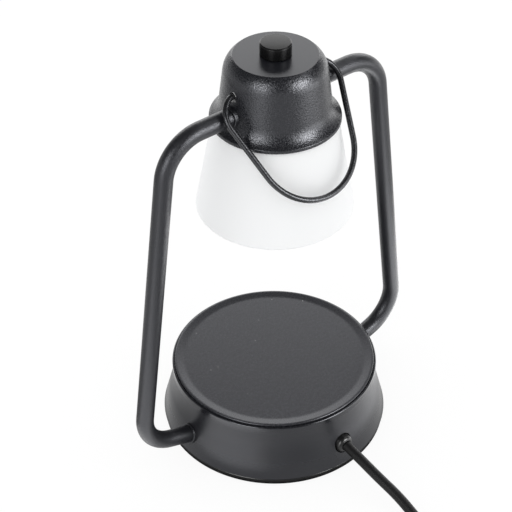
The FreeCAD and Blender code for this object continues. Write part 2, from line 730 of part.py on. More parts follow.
def knob():
    """Plain round knob with a bevelled top edge and a hollow underside."""
    body = turned((6.7, KNOB_BOTTOM), (KNOB_R, KNOB_BOTTOM, 0.3), (KNOB_R, KNOB_TOP - 0.55, 0.3),
                  (KNOB_R - 0.55, KNOB_TOP, 0.3), (0.0, KNOB_TOP), (0.0, KNOB_BOTTOM + 3.1),
                  (6.7, KNOB_BOTTOM + 3.1))
    return body.cut(dimmer_shaft())


# ---- Bail handle --------------------------------------------------------------------------
def bail_point(x, drop):
    """A point of the bail's own plane, which leans out from the pivots towards -Y."""
    return V(x, -drop * math.sin(BAIL_TILT), PIVOT_Z - drop * math.cos(BAIL_TILT))


def bail_handle():
    """Round wire handle whose bent ends turn in the cap's side holes."""
    bends = (BAIL_NECK, BAIL_SHOULDER, BAIL_FOOT)
    corners = [(bail_point(-BAIL_INNER_END, 0), 0.0)]
    corners += [(bail_point(-x, drop), radius) for x, drop, radius in bends]
    corners += [(bail_point(x, drop), radius) for x, drop, radius in reversed(bends)]
    corners.append((bail_point(BAIL_INNER_END, 0), 0.0))
    path, wire = swept(corners, WIRE_R)
    print("bail_handle: length %.1f, volume ratio %.4f"
          % (path.Length, wire.Volume / (math.pi * WIRE_R ** 2 * path.Length)))
    return wire


# ---- Mains lead and plug ------------------------------------------------------------------
def power_cord():
    """The lead from the bushing to the coil, lowered to the surface."""
    return cord_tube("power_cord", CORD_ROUTE, CORD_R)


def power_cord_coil():
    """Outer shape of the neat coil that holds most of the lead."""
    inner = COIL_INNER_R - CORD_R - 0.2
    outer = COIL_OUTER_R + CORD_R + 0.2
    coil = turned((inner, 0.0, 2.5), (outer, 0.0, 2.5), (outer, COIL_HEIGHT, 2.5),
                  (inner, COIL_HEIGHT, 2.5))
    coil.translate(V(COIL_CENTRE[0], COIL_CENTRE[1], 0))
    return coil


def cord_tail():
    """The lead from the coil to the plug."""
    return cord_tube("cord_tail", TAIL_ROUTE, CORD_R)


def plug_body():
    """Moulded two-blade plug with a tapered strain relief, lying flat."""
    height = PLUG_Z
    relief = Part.makeCone(CORD_R + 0.8, 5.2, PLUG_SHOULDER - PLUG_REAR,
                           V(PLUG_X, PLUG_REAR, PLUG_Z), Y_AXIS)
    outline = [(V(PLUG_X - 6.5, PLUG_SHOULDER, 0), 2.0), (V(PLUG_X + 6.5, PLUG_SHOULDER, 0), 2.0),
               (V(PLUG_X + PLUG_HALF_WIDTH, PLUG_FACE - 12.0, 0), 8.0),
               (V(PLUG_X + PLUG_HALF_WIDTH, PLUG_FACE, 0), 1.2),
               (V(PLUG_X - PLUG_HALF_WIDTH, PLUG_FACE, 0), 1.2),
               (V(PLUG_X - PLUG_HALF_WIDTH, PLUG_FACE - 12.0, 0), 8.0)]
    face = Part.Face(Part.Wire(rounded_edges(outline, True)))
    body = face.extrude(V(0, 0, 2 * height))
    rims = [e for e in body.Edges if all(abs(v.Z) < 1e-6 or abs(v.Z - 2 * height) < 1e-6
                                         for v in e.Vertexes) and abs(e.CenterOfMass.z - height) > 1]
    return body.makeFillet(1.0, rims).fuse(relief).removeSplitter()


def plug_blades():
    """Two flat blades of the plug."""
    blades = []
    for side in (-0.5, 0.5):
        x = PLUG_X + side * BLADE_SPACING
        blade = block(x - 0.75, x + 0.75, PLUG_FACE, PLUG_FACE + BLADE_LENGTH, PLUG_Z - 3.15, PLUG_Z + 3.15)
        hole = rod(1.6, V(x - 3, PLUG_FACE + BLADE_LENGTH - 5, PLUG_Z),
                   V(x + 3, PLUG_FACE + BLADE_LENGTH - 5, PLUG_Z))
        blades.append(blade.cut(hole))
    return Part.makeCompound(blades)


NODES = {
    "base_housing": base_housing,
    "warming_plate": warming_plate,
    "ballast_weight": ballast_weight,
    "plate_bolt": plate_bolt,
    "bottom_cover": bottom_cover,
    "foot_ring": foot_ring,
    "cover_screws": cover_screws,
    "cord_clamp": cord_clamp,
    "terminal_block": terminal_block,
    "clamp_screws": clamp_screws,
    "cord_bushing": cord_bushing,
    "cord_inner_end": cord_inner_end,
    "left_tube": left_tube,
    "right_tube": right_tube,
    "base_nipples": lambda: both_sides(along_entry(tube_nipple(*BASE_NIPPLE))),
    "base_nuts": lambda: both_sides(along_entry(tube_nut(BASE_NUT_SEAT, BASE_NUT_END))),
    "base_washers": lambda: both_sides(along_entry(tube_washer(BASE_SOCKET_FACE, BASE_NUT_SEAT))),
    "head_nipples": lambda: both_sides(along_head(tube_nipple(*HEAD_NIPPLE))),
    "head_nuts": lambda: both_sides(along_head(tube_nut(HEAD_NUT_END, HEAD_NUT_SEAT))),
    "head_washers": lambda: both_sides(along_head(tube_washer(HEAD_NUT_SEAT, HEAD_SOCKET_FACE))),
    "base_ferrules": lambda: ferrule_pair(*BASE_FERRULE, along_entry, housing_envelope()),
    "head_ferrules": lambda: ferrule_pair(*HEAD_FERRULE, along_head, cap_envelope()),
    "riser_cable": riser_cable,
    "cap_shell": cap_shell,
    "lampholder_carrier": lampholder_carrier,
    "carrier_screws": carrier_screws,
    "lampholder": lampholder,
    "lampholder_screws": lampholder_screws,
    "lampholder_leads": lampholder_leads,
    "shade": shade,
    "shade_gasket": shade_gasket,
    "shade_ring": shade_ring,
    "bulb_base": bulb_base,
    "bulb_pins": bulb_pins,
    "bulb_reflector": bulb_reflector,
    "bulb_lens": bulb_lens,
    "bulb_capsule": bulb_capsule,
    "dimmer_body": dimmer_body,
    "dimmer_nut": dimmer_nut,
    "dimmer_board": dimmer_board,
    "dimmer_choke": dimmer_choke,
    "dimmer_capacitor": dimmer_capacitor,
    "dimmer_shaft": dimmer_shaft,
    "knob": knob,
    "bail_handle": bail_handle,
    "power_cord": power_cord,
    "power_cord_coil": power_cord_coil,
    "cord_tail": cord_tail,
    "plug_body": plug_body,
    "plug_blades": plug_blades,
}


def main():
    """Build every node and write it to its own file."""
    os.makedirs("parts", exist_ok=True)
    for name, build in NODES.items():
        shape = build()
        if not shape.isValid():
            print("invalid shape:", name)
        shape.exportStep("parts/%s.step" % name)
    print("wrote %d nodes" % len(NODES))


main()
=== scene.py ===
"""Candle warmer lamp: the looks of the lamp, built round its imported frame.

Sizes are in millimetres in the frame of the part: the origin is the centre of the underside, +Z is up and +X
points to the right side tube. Meshes are made in metres.
"""

import logging
import math
from dataclasses import dataclass, field
from enum import Enum
from typing import Sequence

import bmesh
import bpy
from mathutils import Matrix, Vector


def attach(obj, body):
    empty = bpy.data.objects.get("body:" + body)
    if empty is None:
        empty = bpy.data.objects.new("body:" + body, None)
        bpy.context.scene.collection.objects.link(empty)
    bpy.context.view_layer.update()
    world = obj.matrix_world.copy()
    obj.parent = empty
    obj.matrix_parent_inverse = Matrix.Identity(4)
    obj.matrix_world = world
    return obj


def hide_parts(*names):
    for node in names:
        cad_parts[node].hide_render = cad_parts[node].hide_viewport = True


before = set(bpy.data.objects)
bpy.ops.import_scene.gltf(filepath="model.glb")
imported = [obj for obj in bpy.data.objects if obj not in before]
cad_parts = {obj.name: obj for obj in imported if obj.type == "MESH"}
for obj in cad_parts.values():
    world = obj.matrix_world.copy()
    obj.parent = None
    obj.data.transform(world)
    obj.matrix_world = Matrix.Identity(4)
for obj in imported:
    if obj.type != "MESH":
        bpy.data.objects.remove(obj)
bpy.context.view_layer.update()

Corner = Sequence[float]
Colour = tuple[float, float, float]

LOG = logging.getLogger("candle_lamp")
MM = 0.001

# Attributes that tell a material where a piece has small roundings and where its coat is smooth.
EDGE = "edge"
CALM = "calm"
SMALL_ROUNDING = 1.3

# Edges sharper than this, in degrees, stay sharp.
CREASE = 32.0

# Sizes that several sub-assemblies share.
PIVOT_Z = 232.9
UPPER_RUN_Z = 221.3
CORD_R = 3.0

# Values of the shaders that are the same on every piece.
PAINT_TINT = (0.93, 0.945, 1.0, 1.0)
SCATTER_DEPTH = 0.004
WEAR_SCALE = 450.0
LEVEL_HEIGHT = 0.5
WHITE = (1.0, 1.0, 1.0, 1.0)
RANGE_SOCKETS = ("From Min", "From Max", "To Min", "To Max")


# ---- Drawing helpers ----------------------------------------------------------------------
def arc(before: Vector, corner: Vector, after: Vector, radius: float, step: float) -> list[Vector]:
    """Points of the arc that rounds a corner.

    Args:
        before: the point that the line comes from.
        corner: the corner itself.
        after: the point that the line goes to.
        radius: the arc's radius.
        step: the largest turn between two points, in radians.

    Returns:
        The points from the arc's start to its end.
    """
    back = (before - corner).normalized()
    ahead = (after - corner).normalized()
    half = back.angle(ahead) / 2.0
    centre = corner + (back + ahead).normalized() * (radius / math.sin(half))
    start = corner + back * (radius / math.tan(half)) - centre
    turn = math.pi - 2.0 * half
    axis = back.cross(ahead) * -1.0
    count = max(3, math.ceil(turn / step))
    return [centre + Matrix.Rotation(turn * i / count, 3, axis) @ start for i in range(count + 1)]


def rounded(corners: Sequence[tuple[Vector, float]], closed: bool, step: float) -> list[tuple[Vector, float]]:
    """Straight runs joined by tangent arcs.

    Args:
        corners: each corner's point and rounding.
        closed: whether the last corner joins the first.
        step: the largest turn between two points of an arc, in radians.

    Returns:
        Each point with the rounding that it belongs to, which is zero for a plain corner.
    """
    points: list[tuple[Vector, float]] = []
    count = len(corners)
    for index, (corner, radius) in enumerate(corners):
        inner = closed or 0 < index < count - 1
        if radius <= 0.0 or not inner:
            points.append((corner, 0.0))
            continue
        before = corners[index - 1][0]
        after = corners[(index + 1) % count][0]
        points += [(p, radius) for p in arc(before, corner, after, radius, step)]
    return points


def new_object(name: str, mesh: bpy.types.Mesh) -> bpy.types.Object:
    """A mesh object at the origin of the scene.

    Args:
        name: the object's name.
        mesh: its mesh.

    Returns:
        The new object.
    """
    obj = bpy.data.objects.new(name, mesh)
    bpy.context.scene.collection.objects.link(obj)
    return obj


def smooth(mesh: bpy.types.Mesh, crease: float = CREASE) -> None:
    """Smooth shading that keeps edges sharper than the crease, in degrees."""
    mesh.polygons.foreach_set("use_smooth", [True] * len(mesh.polygons))
    mesh.set_sharp_from_angle(angle=math.radians(crease))


def mesh_object(name: str, bm: bmesh.types.BMesh, crease: float = CREASE) -> bpy.types.Object:
    """Turn a bmesh into an object with its faces pointing outwards.

    Args:
        name: the object's name.
        bm: the bmesh, which is freed.
        crease: edges sharper than this stay sharp, in degrees.

    Returns:
        The new object.
    """
    bmesh.ops.remove_doubles(bm, verts=bm.verts, dist=1e-7)
    bmesh.ops.recalc_face_normals(bm, faces=bm.faces)
    mesh = bpy.data.meshes.new(name)
    bm.to_mesh(mesh)
    bm.free()
    smooth(mesh, crease)
    return new_object(name, mesh)


def turned(name: str, corners: Sequence[Corner], segments: int = 180, step: float = 10.0,
           crease: float = CREASE) -> bpy.types.Object:
    """Solid of revolution about Z, with the attribute EDGE set on its small roundings.

    Args:
        name: the object's name.
        corners: closed outline of (radius, z) or (radius, z, rounding) in millimetres.
        segments: steps round the axis.
        step: the largest turn between two points of a rounding, in degrees.
        crease: edges sharper than this stay sharp, in degrees.

    Returns:
        The new object.
    """
    plain = [(Vector((c[0], 0.0, c[1])), c[2] if len(c) > 2 else 0.0) for c in corners]
    outline = rounded(plain, True, math.radians(step))
    bm = bmesh.new()
    layer = bm.verts.layers.float.new(EDGE)
    rings = []
    for point, rounding in outline:
        weight = 1.0 if 0.0 < rounding <= SMALL_ROUNDING else 0.0
        if point.x < 1e-6:
            ring = [bm.verts.new((0.0, 0.0, point.z * MM))] * segments
        else:
            ring = []
            for index in range(segments):
                angle = 2.0 * math.pi * index / segments
                ring.append(bm.verts.new((point.x * math.cos(angle) * MM, point.x * math.sin(angle) * MM,
                                          point.z * MM)))
        for vert in set(ring):
            vert[layer] = weight
        rings.append(ring)
    for low, high in zip(rings, rings[1:] + rings[:1]):
        for index in range(segments):
            after = (index + 1) % segments
            corner_verts = []
            for vert in (low[index], low[after], high[after], high[index]):
                if vert not in corner_verts:
                    corner_verts.append(vert)
            if len(corner_verts) > 2:
                bm.faces.new(corner_verts)
    return mesh_object(name, bm, crease)


def frames_along(points: Sequence[Vector]) -> list[Matrix]:
    """Untwisted frames along a line; each one's columns are two normals and the heading.

    Args:
        points: the line.

    Returns:
        A frame for each point.
    """
    frames = []
    normal = Vector((0.0, 0.0, 1.0))
    for index in range(len(points)):
        ahead = points[min(index + 1, len(points) - 1)]
        back = points[max(index - 1, 0)]
        heading = (ahead - back).normalized()
        if index == 0 and abs(heading.z) > 0.95:
            normal = Vector((0.0, 1.0, 0.0))
        normal = (normal - heading * normal.dot(heading)).normalized()
        frames.append(Matrix((normal, heading.cross(normal), heading)).transposed())
    return frames


def swept_rings(bm: bmesh.types.BMesh, points: Sequence[Vector], radii: Sequence[float],
                sides: int) -> list[list[bmesh.types.BMVert]]:
    """Rings of vertices round a line, joined by faces, in millimetres.

    Args:
        bm: the bmesh that gets the rings.
        points: the line.
        radii: the rings' radius at each point.
        sides: corners of each ring.

    Returns:
        The rings, from the line's start to its end.
    """
    rings = []
    for point, radius, axes in zip(points, radii, frames_along(points)):
        ring = []
        for side in range(sides):
            angle = 2.0 * math.pi * side / sides
            offset = axes @ Vector((math.cos(angle), math.sin(angle), 0.0)) * radius
            ring.append(bm.verts.new((point + offset) * MM))
        rings.append(ring)
    for low, high in zip(rings, rings[1:]):
        for side in range(sides):
            after = (side + 1) % sides
            bm.faces.new((low[side], low[after], high[after], high[side]))
    return rings


def swept(name: str, points: Sequence[Vector], radii: Sequence[float], bore: float = 0.0,
          sides: int = 40) -> bpy.types.Object:
    """Round bar or pipe along a line.

    Args:
        name: the object's name.
        points: the centre line in millimetres.
        radii: the outer radius at each point.
        bore: the inner radius, or zero for a solid bar.
        sides: corners of the section.

    Returns:
        The new object.
    """
    bm = bmesh.new()
    outer = swept_rings(bm, points, radii, sides)
    if bore > 0.0:
        inner = swept_rings(bm, points, [bore] * len(points), sides)
        for out_ring, in_ring in ((outer[0], inner[0]), (outer[-1], inner[-1])):
            for side in range(sides):
                after = (side + 1) % sides
                bm.faces.new((out_ring[side], out_ring[after], in_ring[after], in_ring[side]))
    else:
        bm.faces.new(outer[0])
        bm.faces.new(outer[-1])
    return mesh_object(name, bm)


def rounded_line(corners: Sequence[tuple[Vector, float]], step: float = 6.0, run: float = 6.0) -> list[Vector]:
    """Centre line through rounded corners, with its straight runs divided.

    Args:
        corners: each corner's point and bend radius in millimetres.
        step: the largest turn between two points of a bend, in degrees.
        run: the longest piece of a straight run.

    Returns:
        The points of the line.
    """
    sparse = [p for p, _ in rounded(corners, False, math.radians(step))]
    line = [sparse[0]]
    for start, end in zip(sparse, sparse[1:]):
        count = max(1, math.ceil((end - start).length / run))
        line += [start.lerp(end, i / count) for i in range(1, count + 1)]
    return line


def cylinder(name: str, start: Vector, end: Vector, radius: float, sides: int = 64) -> bpy.types.Object:
    """Plain cylinder between two points in millimetres, used as a cutter."""
    return swept(name, [start, end], [radius, radius], 0.0, sides)


def ribbon(name: str, line: Sequence[Vector], width: float, thickness: float, closed: bool) -> bpy.types.Object:
    """Flat strap whose middle follows a line in the XZ plane.

    Args:
        name: the object's name.
        line: the line in millimetres.
        width: the strap's size along Y.
        thickness: its other size.
        closed: whether the line's end joins its start.

    Returns:
        The new object.
    """
    bm = bmesh.new()
    rings = []
    for index, point in enumerate(line):
        back = line[index - 1] if closed or index > 0 else point
        ahead = line[(index + 1) % len(line)] if closed or index < len(line) - 1 else point
        heading = (ahead - back).normalized()
        normal = Vector((heading.z, 0.0, -heading.x)) * (thickness / 2.0)
        across = Vector((0.0, width / 2.0, 0.0))
        rings.append([bm.verts.new((point + offset) * MM)
                      for offset in (-across - normal, across - normal, across + normal, -across + normal)])
    for low, high in zip(rings, rings[1:] + rings[:1] if closed else rings[1:]):
        for side in range(4):
            after = (side + 1) % 4
            bm.faces.new((low[side], low[after], high[after], high[side]))
    if not closed:
        bm.faces.new(rings[0])
        bm.faces.new(rings[-1])
    return mesh_object(name, bm)


def baked(obj: bpy.types.Object) -> bpy.types.Object:
    """Replace the object's mesh by what its modifiers make of it, and remove them.

    Args:
        obj: the object.

    Returns:
        The same object.
    """
    bpy.context.view_layer.update()
    graph = bpy.context.evaluated_depsgraph_get()
    mesh = bpy.data.meshes.new_from_object(obj.evaluated_get(graph), depsgraph=graph)
    obj.modifiers.clear()
    old = obj.data
    obj.data = mesh
    mesh.name = obj.name
    if isinstance(old, bpy.types.Mesh):
        bpy.data.meshes.remove(old)
    return obj


def cut(obj: bpy.types.Object, cutters: Sequence[bpy.types.Object], crease: float = CREASE) -> bpy.types.Object:
    """Cut the cutters out of the object and delete them.

    Args:
        obj: the object.
        cutters: closed objects that are cut out of it.
        crease: edges sharper than this stay sharp, in degrees.

    Returns:
        The same object.
    """
    for cutter in cutters:
        modifier = obj.modifiers.new("cut", "BOOLEAN")
        modifier.operation = "DIFFERENCE"
        modifier.solver = "EXACT"
        modifier.object = cutter
    baked(obj)
    for cutter in cutters:
        bpy.data.objects.remove(cutter)
    smooth(obj.data, crease)
    return obj


def moved(obj: bpy.types.Object, matrix: Matrix) -> bpy.types.Object:
    """Move the object's mesh, leaving the object at the origin.

    Args:
        obj: the object.
        matrix: the move, in metres.

    Returns:
        The same object.
    """
    obj.data.transform(matrix)
    obj.data.update()
    return obj


def mirrored(obj: bpy.types.Object, name: str) -> bpy.types.Object:
    """A copy of the object on the other side of the YZ plane, with its faces outwards.

    Args:
        obj: the object, which stays.
        name: the copy's name.

    Returns:
        The copy.
    """
    mesh = obj.data.copy()
    mesh.transform(Matrix.Diagonal((-1.0, 1.0, 1.0, 1.0)))
    mesh.flip_normals()
    return new_object(name, mesh)


def joined(name: str, parts: Sequence[bpy.types.Object]) -> bpy.types.Object:
    """One object made of several, which are deleted.

    Args:
        name: the new object's name.
        parts: the objects that it is made of.

    Returns:
        The new object.
    """
    bm = bmesh.new()
    for part in parts:
        bm.from_mesh(part.data)
    mesh = bpy.data.meshes.new(name)
    bm.to_mesh(mesh)
    bm.free()
    for part in parts:
        bpy.data.objects.remove(part)
    smooth(mesh)
    return new_object(name, mesh)


# ---- Repeats made by Geometry Nodes -------------------------------------------------------
@dataclass
class Repeater:
    """Geometry Nodes tree that repeats an object round Z or along a straight line."""

    name: str
    tree: bpy.types.GeometryNodeTree = field(init=False)
    sockets: dict[str, str] = field(init=False, default_factory=dict)

    def __post_init__(self) -> None:
        """Make the tree and its inputs."""
        self.tree = bpy.data.node_groups.new(self.name, "GeometryNodeTree")
        face = self.tree.interface
        face.new_socket("Geometry", in_out="INPUT", socket_type="NodeSocketGeometry")
        face.new_socket("Geometry", in_out="OUTPUT", socket_type="NodeSocketGeometry")
        for label, kind in (("Count", "NodeSocketInt"), ("Step", "NodeSocketVector"),
                            ("Turn", "NodeSocketVector"), ("Material", "NodeSocketMaterial")):
            self.sockets[label] = face.new_socket(label, in_out="INPUT", socket_type=kind).identifier
        self.wire()

    def wire(self) -> None:
        """Points in a line, each turned by its number, carry the copies."""
        nodes, links = self.tree.nodes, self.tree.links
        start = nodes.new("NodeGroupInput")
        line = nodes.new("GeometryNodeMeshLine")
        links.new(start.outputs["Count"], line.inputs["Count"])
        links.new(start.outputs["Step"], line.inputs["Offset"])
        index = nodes.new("GeometryNodeInputIndex")
        turn = nodes.new("ShaderNodeVectorMath")
        turn.operation = "SCALE"
        links.new(start.outputs["Turn"], turn.inputs[0])
        links.new(index.outputs[0], turn.inputs["Scale"])
        copies = nodes.new("GeometryNodeInstanceOnPoints")
        links.new(line.outputs["Mesh"], copies.inputs["Points"])
        links.new(start.outputs["Geometry"], copies.inputs["Instance"])
        links.new(turn.outputs[0], copies.inputs["Rotation"])
        real = nodes.new("GeometryNodeRealizeInstances")
        links.new(copies.outputs[0], real.inputs[0])
        paint = nodes.new("GeometryNodeSetMaterial")
        links.new(real.outputs[0], paint.inputs["Geometry"])
        links.new(start.outputs["Material"], paint.inputs["Material"])
        end = nodes.new("NodeGroupOutput")
        links.new(paint.outputs[0], end.inputs[0])

    def repeat(self, obj: bpy.types.Object, count: int, material: bpy.types.Material,
               step: Vector = Vector((0.0, 0.0, 0.0)), turn: float = 0.0) -> bpy.types.Object:
        """Repeat an object and keep the result as a plain mesh.

        Args:
            obj: the first copy, in its place.
            count: how many copies to make.
            material: the material that every copy gets.
            step: the move from one copy to the next, in millimetres.
            turn: the turn about Z from one copy to the next, in degrees.

        Returns:
            The object, now with all its copies.
        """
        modifier = obj.modifiers.new("repeat", "NODES")
        modifier.node_group = self.tree
        modifier[self.sockets["Count"]] = count
        modifier[self.sockets["Step"]] = tuple(step * MM)
        modifier[self.sockets["Turn"]] = (0.0, 0.0, math.radians(turn))
        modifier[self.sockets["Material"]] = material
        baked(obj)
        smooth(obj.data)
        return obj


# ---- Shader groups ------------------------------------------------------------------------
@dataclass
class ShaderGroup:
    """Base of the shader node groups: a tree with named inputs and outputs, built once."""

    tree: bpy.types.ShaderNodeTree = field(init=False)
    start: bpy.types.Node = field(init=False)
    end: bpy.types.Node = field(init=False)
    title: str = "group"
    inputs: tuple[tuple[str, str, float], ...] = ()
    outputs: tuple[str, ...] = ()

    def __post_init__(self) -> None:
        """Make the tree and its sockets, then let the kind of group fill it."""
        self.tree = bpy.data.node_groups.new(self.title, "ShaderNodeTree")
        face = self.tree.interface
        face.new_socket("Vector", in_out="INPUT", socket_type="NodeSocketVector")
        for label, kind, value in self.inputs:
            face.new_socket(label, in_out="INPUT", socket_type=kind).default_value = value
        for label in self.outputs:
            face.new_socket(label, in_out="OUTPUT", socket_type="NodeSocketFloat")
        self.start = self.tree.nodes.new("NodeGroupInput")
        self.end = self.tree.nodes.new("NodeGroupOutput")
        self.wire()

    def wire(self) -> None:
        """Fill the tree; each kind of group has its own way."""

    def node(self, kind: str, **settings: object) -> bpy.types.Node:
        """A new node with its settings.

        Args:
            kind: the node's type.
            settings: its properties and their values.

        Returns:
            The node.
        """
        made = self.tree.nodes.new(kind)
        for key, value in settings.items():
            setattr(made, key, value)
        return made

    def math(self, operation: str, first: object, second: object = None) -> bpy.types.NodeSocket:
        """Output of a Math node whose inputs are sockets or numbers.

        Args:
            operation: what the node does.
            first: its first input.
            second: its second input, if it has one.

        Returns:
            The node's output.
        """
        made = self.node("ShaderNodeMath", operation=operation)
        for socket, value in zip(made.inputs, (first, second)):
            if isinstance(value, bpy.types.NodeSocket):
                self.tree.links.new(value, socket)
            elif value is not None:
                socket.default_value = value
        return made.outputs[0]

    def noise(self, scale: object, detail: float, rough: float = 0.5) -> bpy.types.NodeSocket:
        """Noise on the group's vector.

        Args:
            scale: its scale, a socket or a number.
            detail: how many finer layers it has.
            rough: how strong the finer layers are.

        Returns:
            The noise, from 0 to 1.
        """
        made = self.node("ShaderNodeTexNoise")
        made.inputs["Detail"].default_value = detail
        made.inputs["Roughness"].default_value = rough
        self.tree.links.new(self.start.outputs["Vector"], made.inputs["Vector"])
        if isinstance(scale, bpy.types.NodeSocket):
            self.tree.links.new(scale, made.inputs["Scale"])
        else:
            made.inputs["Scale"].default_value = scale
        return made.outputs["Fac"]

    def out(self, label: str, socket: bpy.types.NodeSocket) -> None:
        """Join a socket to one of the group's outputs."""
        self.tree.links.new(socket, self.end.inputs[label])


class GrainGroup(ShaderGroup):
    """Sandy coat: fine grains on a soft orange peel."""

    def wire(self) -> None:
        """Two noises for the coat's height and a broad one for its shade."""
        scale = self.start.outputs["Scale"]
        peel = self.noise(scale, 2.0, 0.6)
        grains = self.noise(self.math("MULTIPLY", scale, 1.3), 1.0, 0.5)
        weighted = self.math("MULTIPLY", grains, self.start.outputs["Sand"])
        self.out("Height", self.math("ADD", peel, weighted))
        self.out("Tint", self.noise(self.math("MULTIPLY", scale, 0.45), 4.0, 0.7))
        spread = self.math("MULTIPLY", self.math("SUBTRACT", grains, 0.5), 5.0)
        made = self.node("ShaderNodeClamp")
        self.tree.links.new(self.math("ADD", spread, 0.5), made.inputs[0])
        self.out("Sparkle", made.outputs[0])


class SpeckGroup(ShaderGroup):
    """Sparse round specks, such as dust or pits."""

    def wire(self) -> None:
        """Cells whose random number is high enough show a dot at their middle."""
        cells = self.node("ShaderNodeTexVoronoi")
        self.tree.links.new(self.start.outputs["Vector"], cells.inputs["Vector"])
        self.tree.links.new(self.start.outputs["Scale"], cells.inputs["Scale"])
        parts = self.node("ShaderNodeSeparateColor")
        self.tree.links.new(cells.outputs["Color"], parts.inputs[0])
        chosen = self.math("GREATER_THAN", parts.outputs[0], self.start.outputs["Rarity"])
        size = self.math("MULTIPLY", parts.outputs[1], self.start.outputs["Size"])
        dot = self.math("LESS_THAN", cells.outputs["Distance"], size)
        self.out("Mask", self.math("MULTIPLY", chosen, dot))


class WearGroup(ShaderGroup):
    """Patchy wear on an edge, from the edge mask that the piece carries."""

    def wire(self) -> None:
        """The piece's mask, broken up by noise."""
        patches = self.noise(self.start.outputs["Scale"], 5.0, 0.7)
        raised = self.math("MULTIPLY", patches, self.start.outputs["Edge"])
        above = self.math("SUBTRACT", raised, self.start.outputs["Threshold"])
        sharp = self.math("MULTIPLY", above, 8.0)
        made = self.node("ShaderNodeClamp")
        self.tree.links.new(sharp, made.inputs[0])
        self.out("Mask", made.outputs[0])


@dataclass
class ShaderKit:
    """The shader groups that the finishes share."""

    grain: GrainGroup = field(default_factory=lambda: GrainGroup(
        "sandy coat", (("Scale", "NodeSocketFloat", 1200.0), ("Sand", "NodeSocketFloat", 0.4)),
        ("Height", "Tint", "Sparkle")))
    specks: SpeckGroup = field(default_factory=lambda: SpeckGroup(
        "specks", (("Scale", "NodeSocketFloat", 100.0), ("Rarity", "NodeSocketFloat", 0.9),
                   ("Size", "NodeSocketFloat", 0.05)), ("Mask",)))
    wear: WearGroup = field(default_factory=lambda: WearGroup(
        "edge wear", (("Edge", "NodeSocketFloat", 0.0), ("Scale", "NodeSocketFloat", 300.0),
                      ("Threshold", "NodeSocketFloat", 0.5)), ("Mask",)))


# ---- Finishes -----------------------------------------------------------------------------
class Surface(Enum):
    """What a finish is made of, which decides its shader's fixed values."""

    PAINT = "paint"
    METAL = "metal"
    PLASTIC = "plastic"
    RUBBER = "rubber"
    CERAMIC = "ceramic"
    GLASS = "glass"


@dataclass(frozen=True)
class Finish:
    """A finish: its colours, its gloss and the grain, specks and wear of its surface.

    Attributes:
        slot: the material's name, which is also the record's slot.
        surface: what it is made of.
        colour: its colour.
        shade: the darker colour that the grain mixes in.
        gloss: its least and most roughness.
        grain: scale of the grain.
        sand: how much the fine grains add to the soft ones.
        bump: strength of the relief.
        depth: height of the relief in metres.
        specks: scale, rarity and size of the specks.
        speck_colour: their colour.
        wear: threshold of the edge wear; 1 is none.
        wear_colour: the colour that shows there.
        transmission: how much light passes through.
        ior: index of refraction.
        subsurface: how much light scatters inside.
        specular: strength of the gloss.
        sandy: whether the gloss follows the fine grains.
        calm: how dull the coat is where the attribute CALM is 1; 0 is not used.
        edge_gloss: roughness where the attribute EDGE is 1; 0 is not used.
        recorded: whether the record has a slot of that name; not used.
    """

    slot: str
    surface: Surface
    colour: Colour
    shade: Colour
    gloss: tuple[float, float] = (0.4, 0.5)
    grain: float = 1200.0
    sand: float = 0.4
    bump: float = 0.1
    depth: float = 0.0001
    specks: tuple[float, float, float] = (140.0, 1.0, 0.05)
    speck_colour: Colour = (0.5, 0.5, 0.5)
    wear: float = 1.0
    wear_colour: Colour = (0.3, 0.3, 0.3)
    transmission: float = 0.0
    ior: float = 1.5
    subsurface: float = 0.0
    specular: float = 0.5
    sandy: bool = False
    calm: float = 0.0
    edge_gloss: float = 0.0
    recorded: bool = True


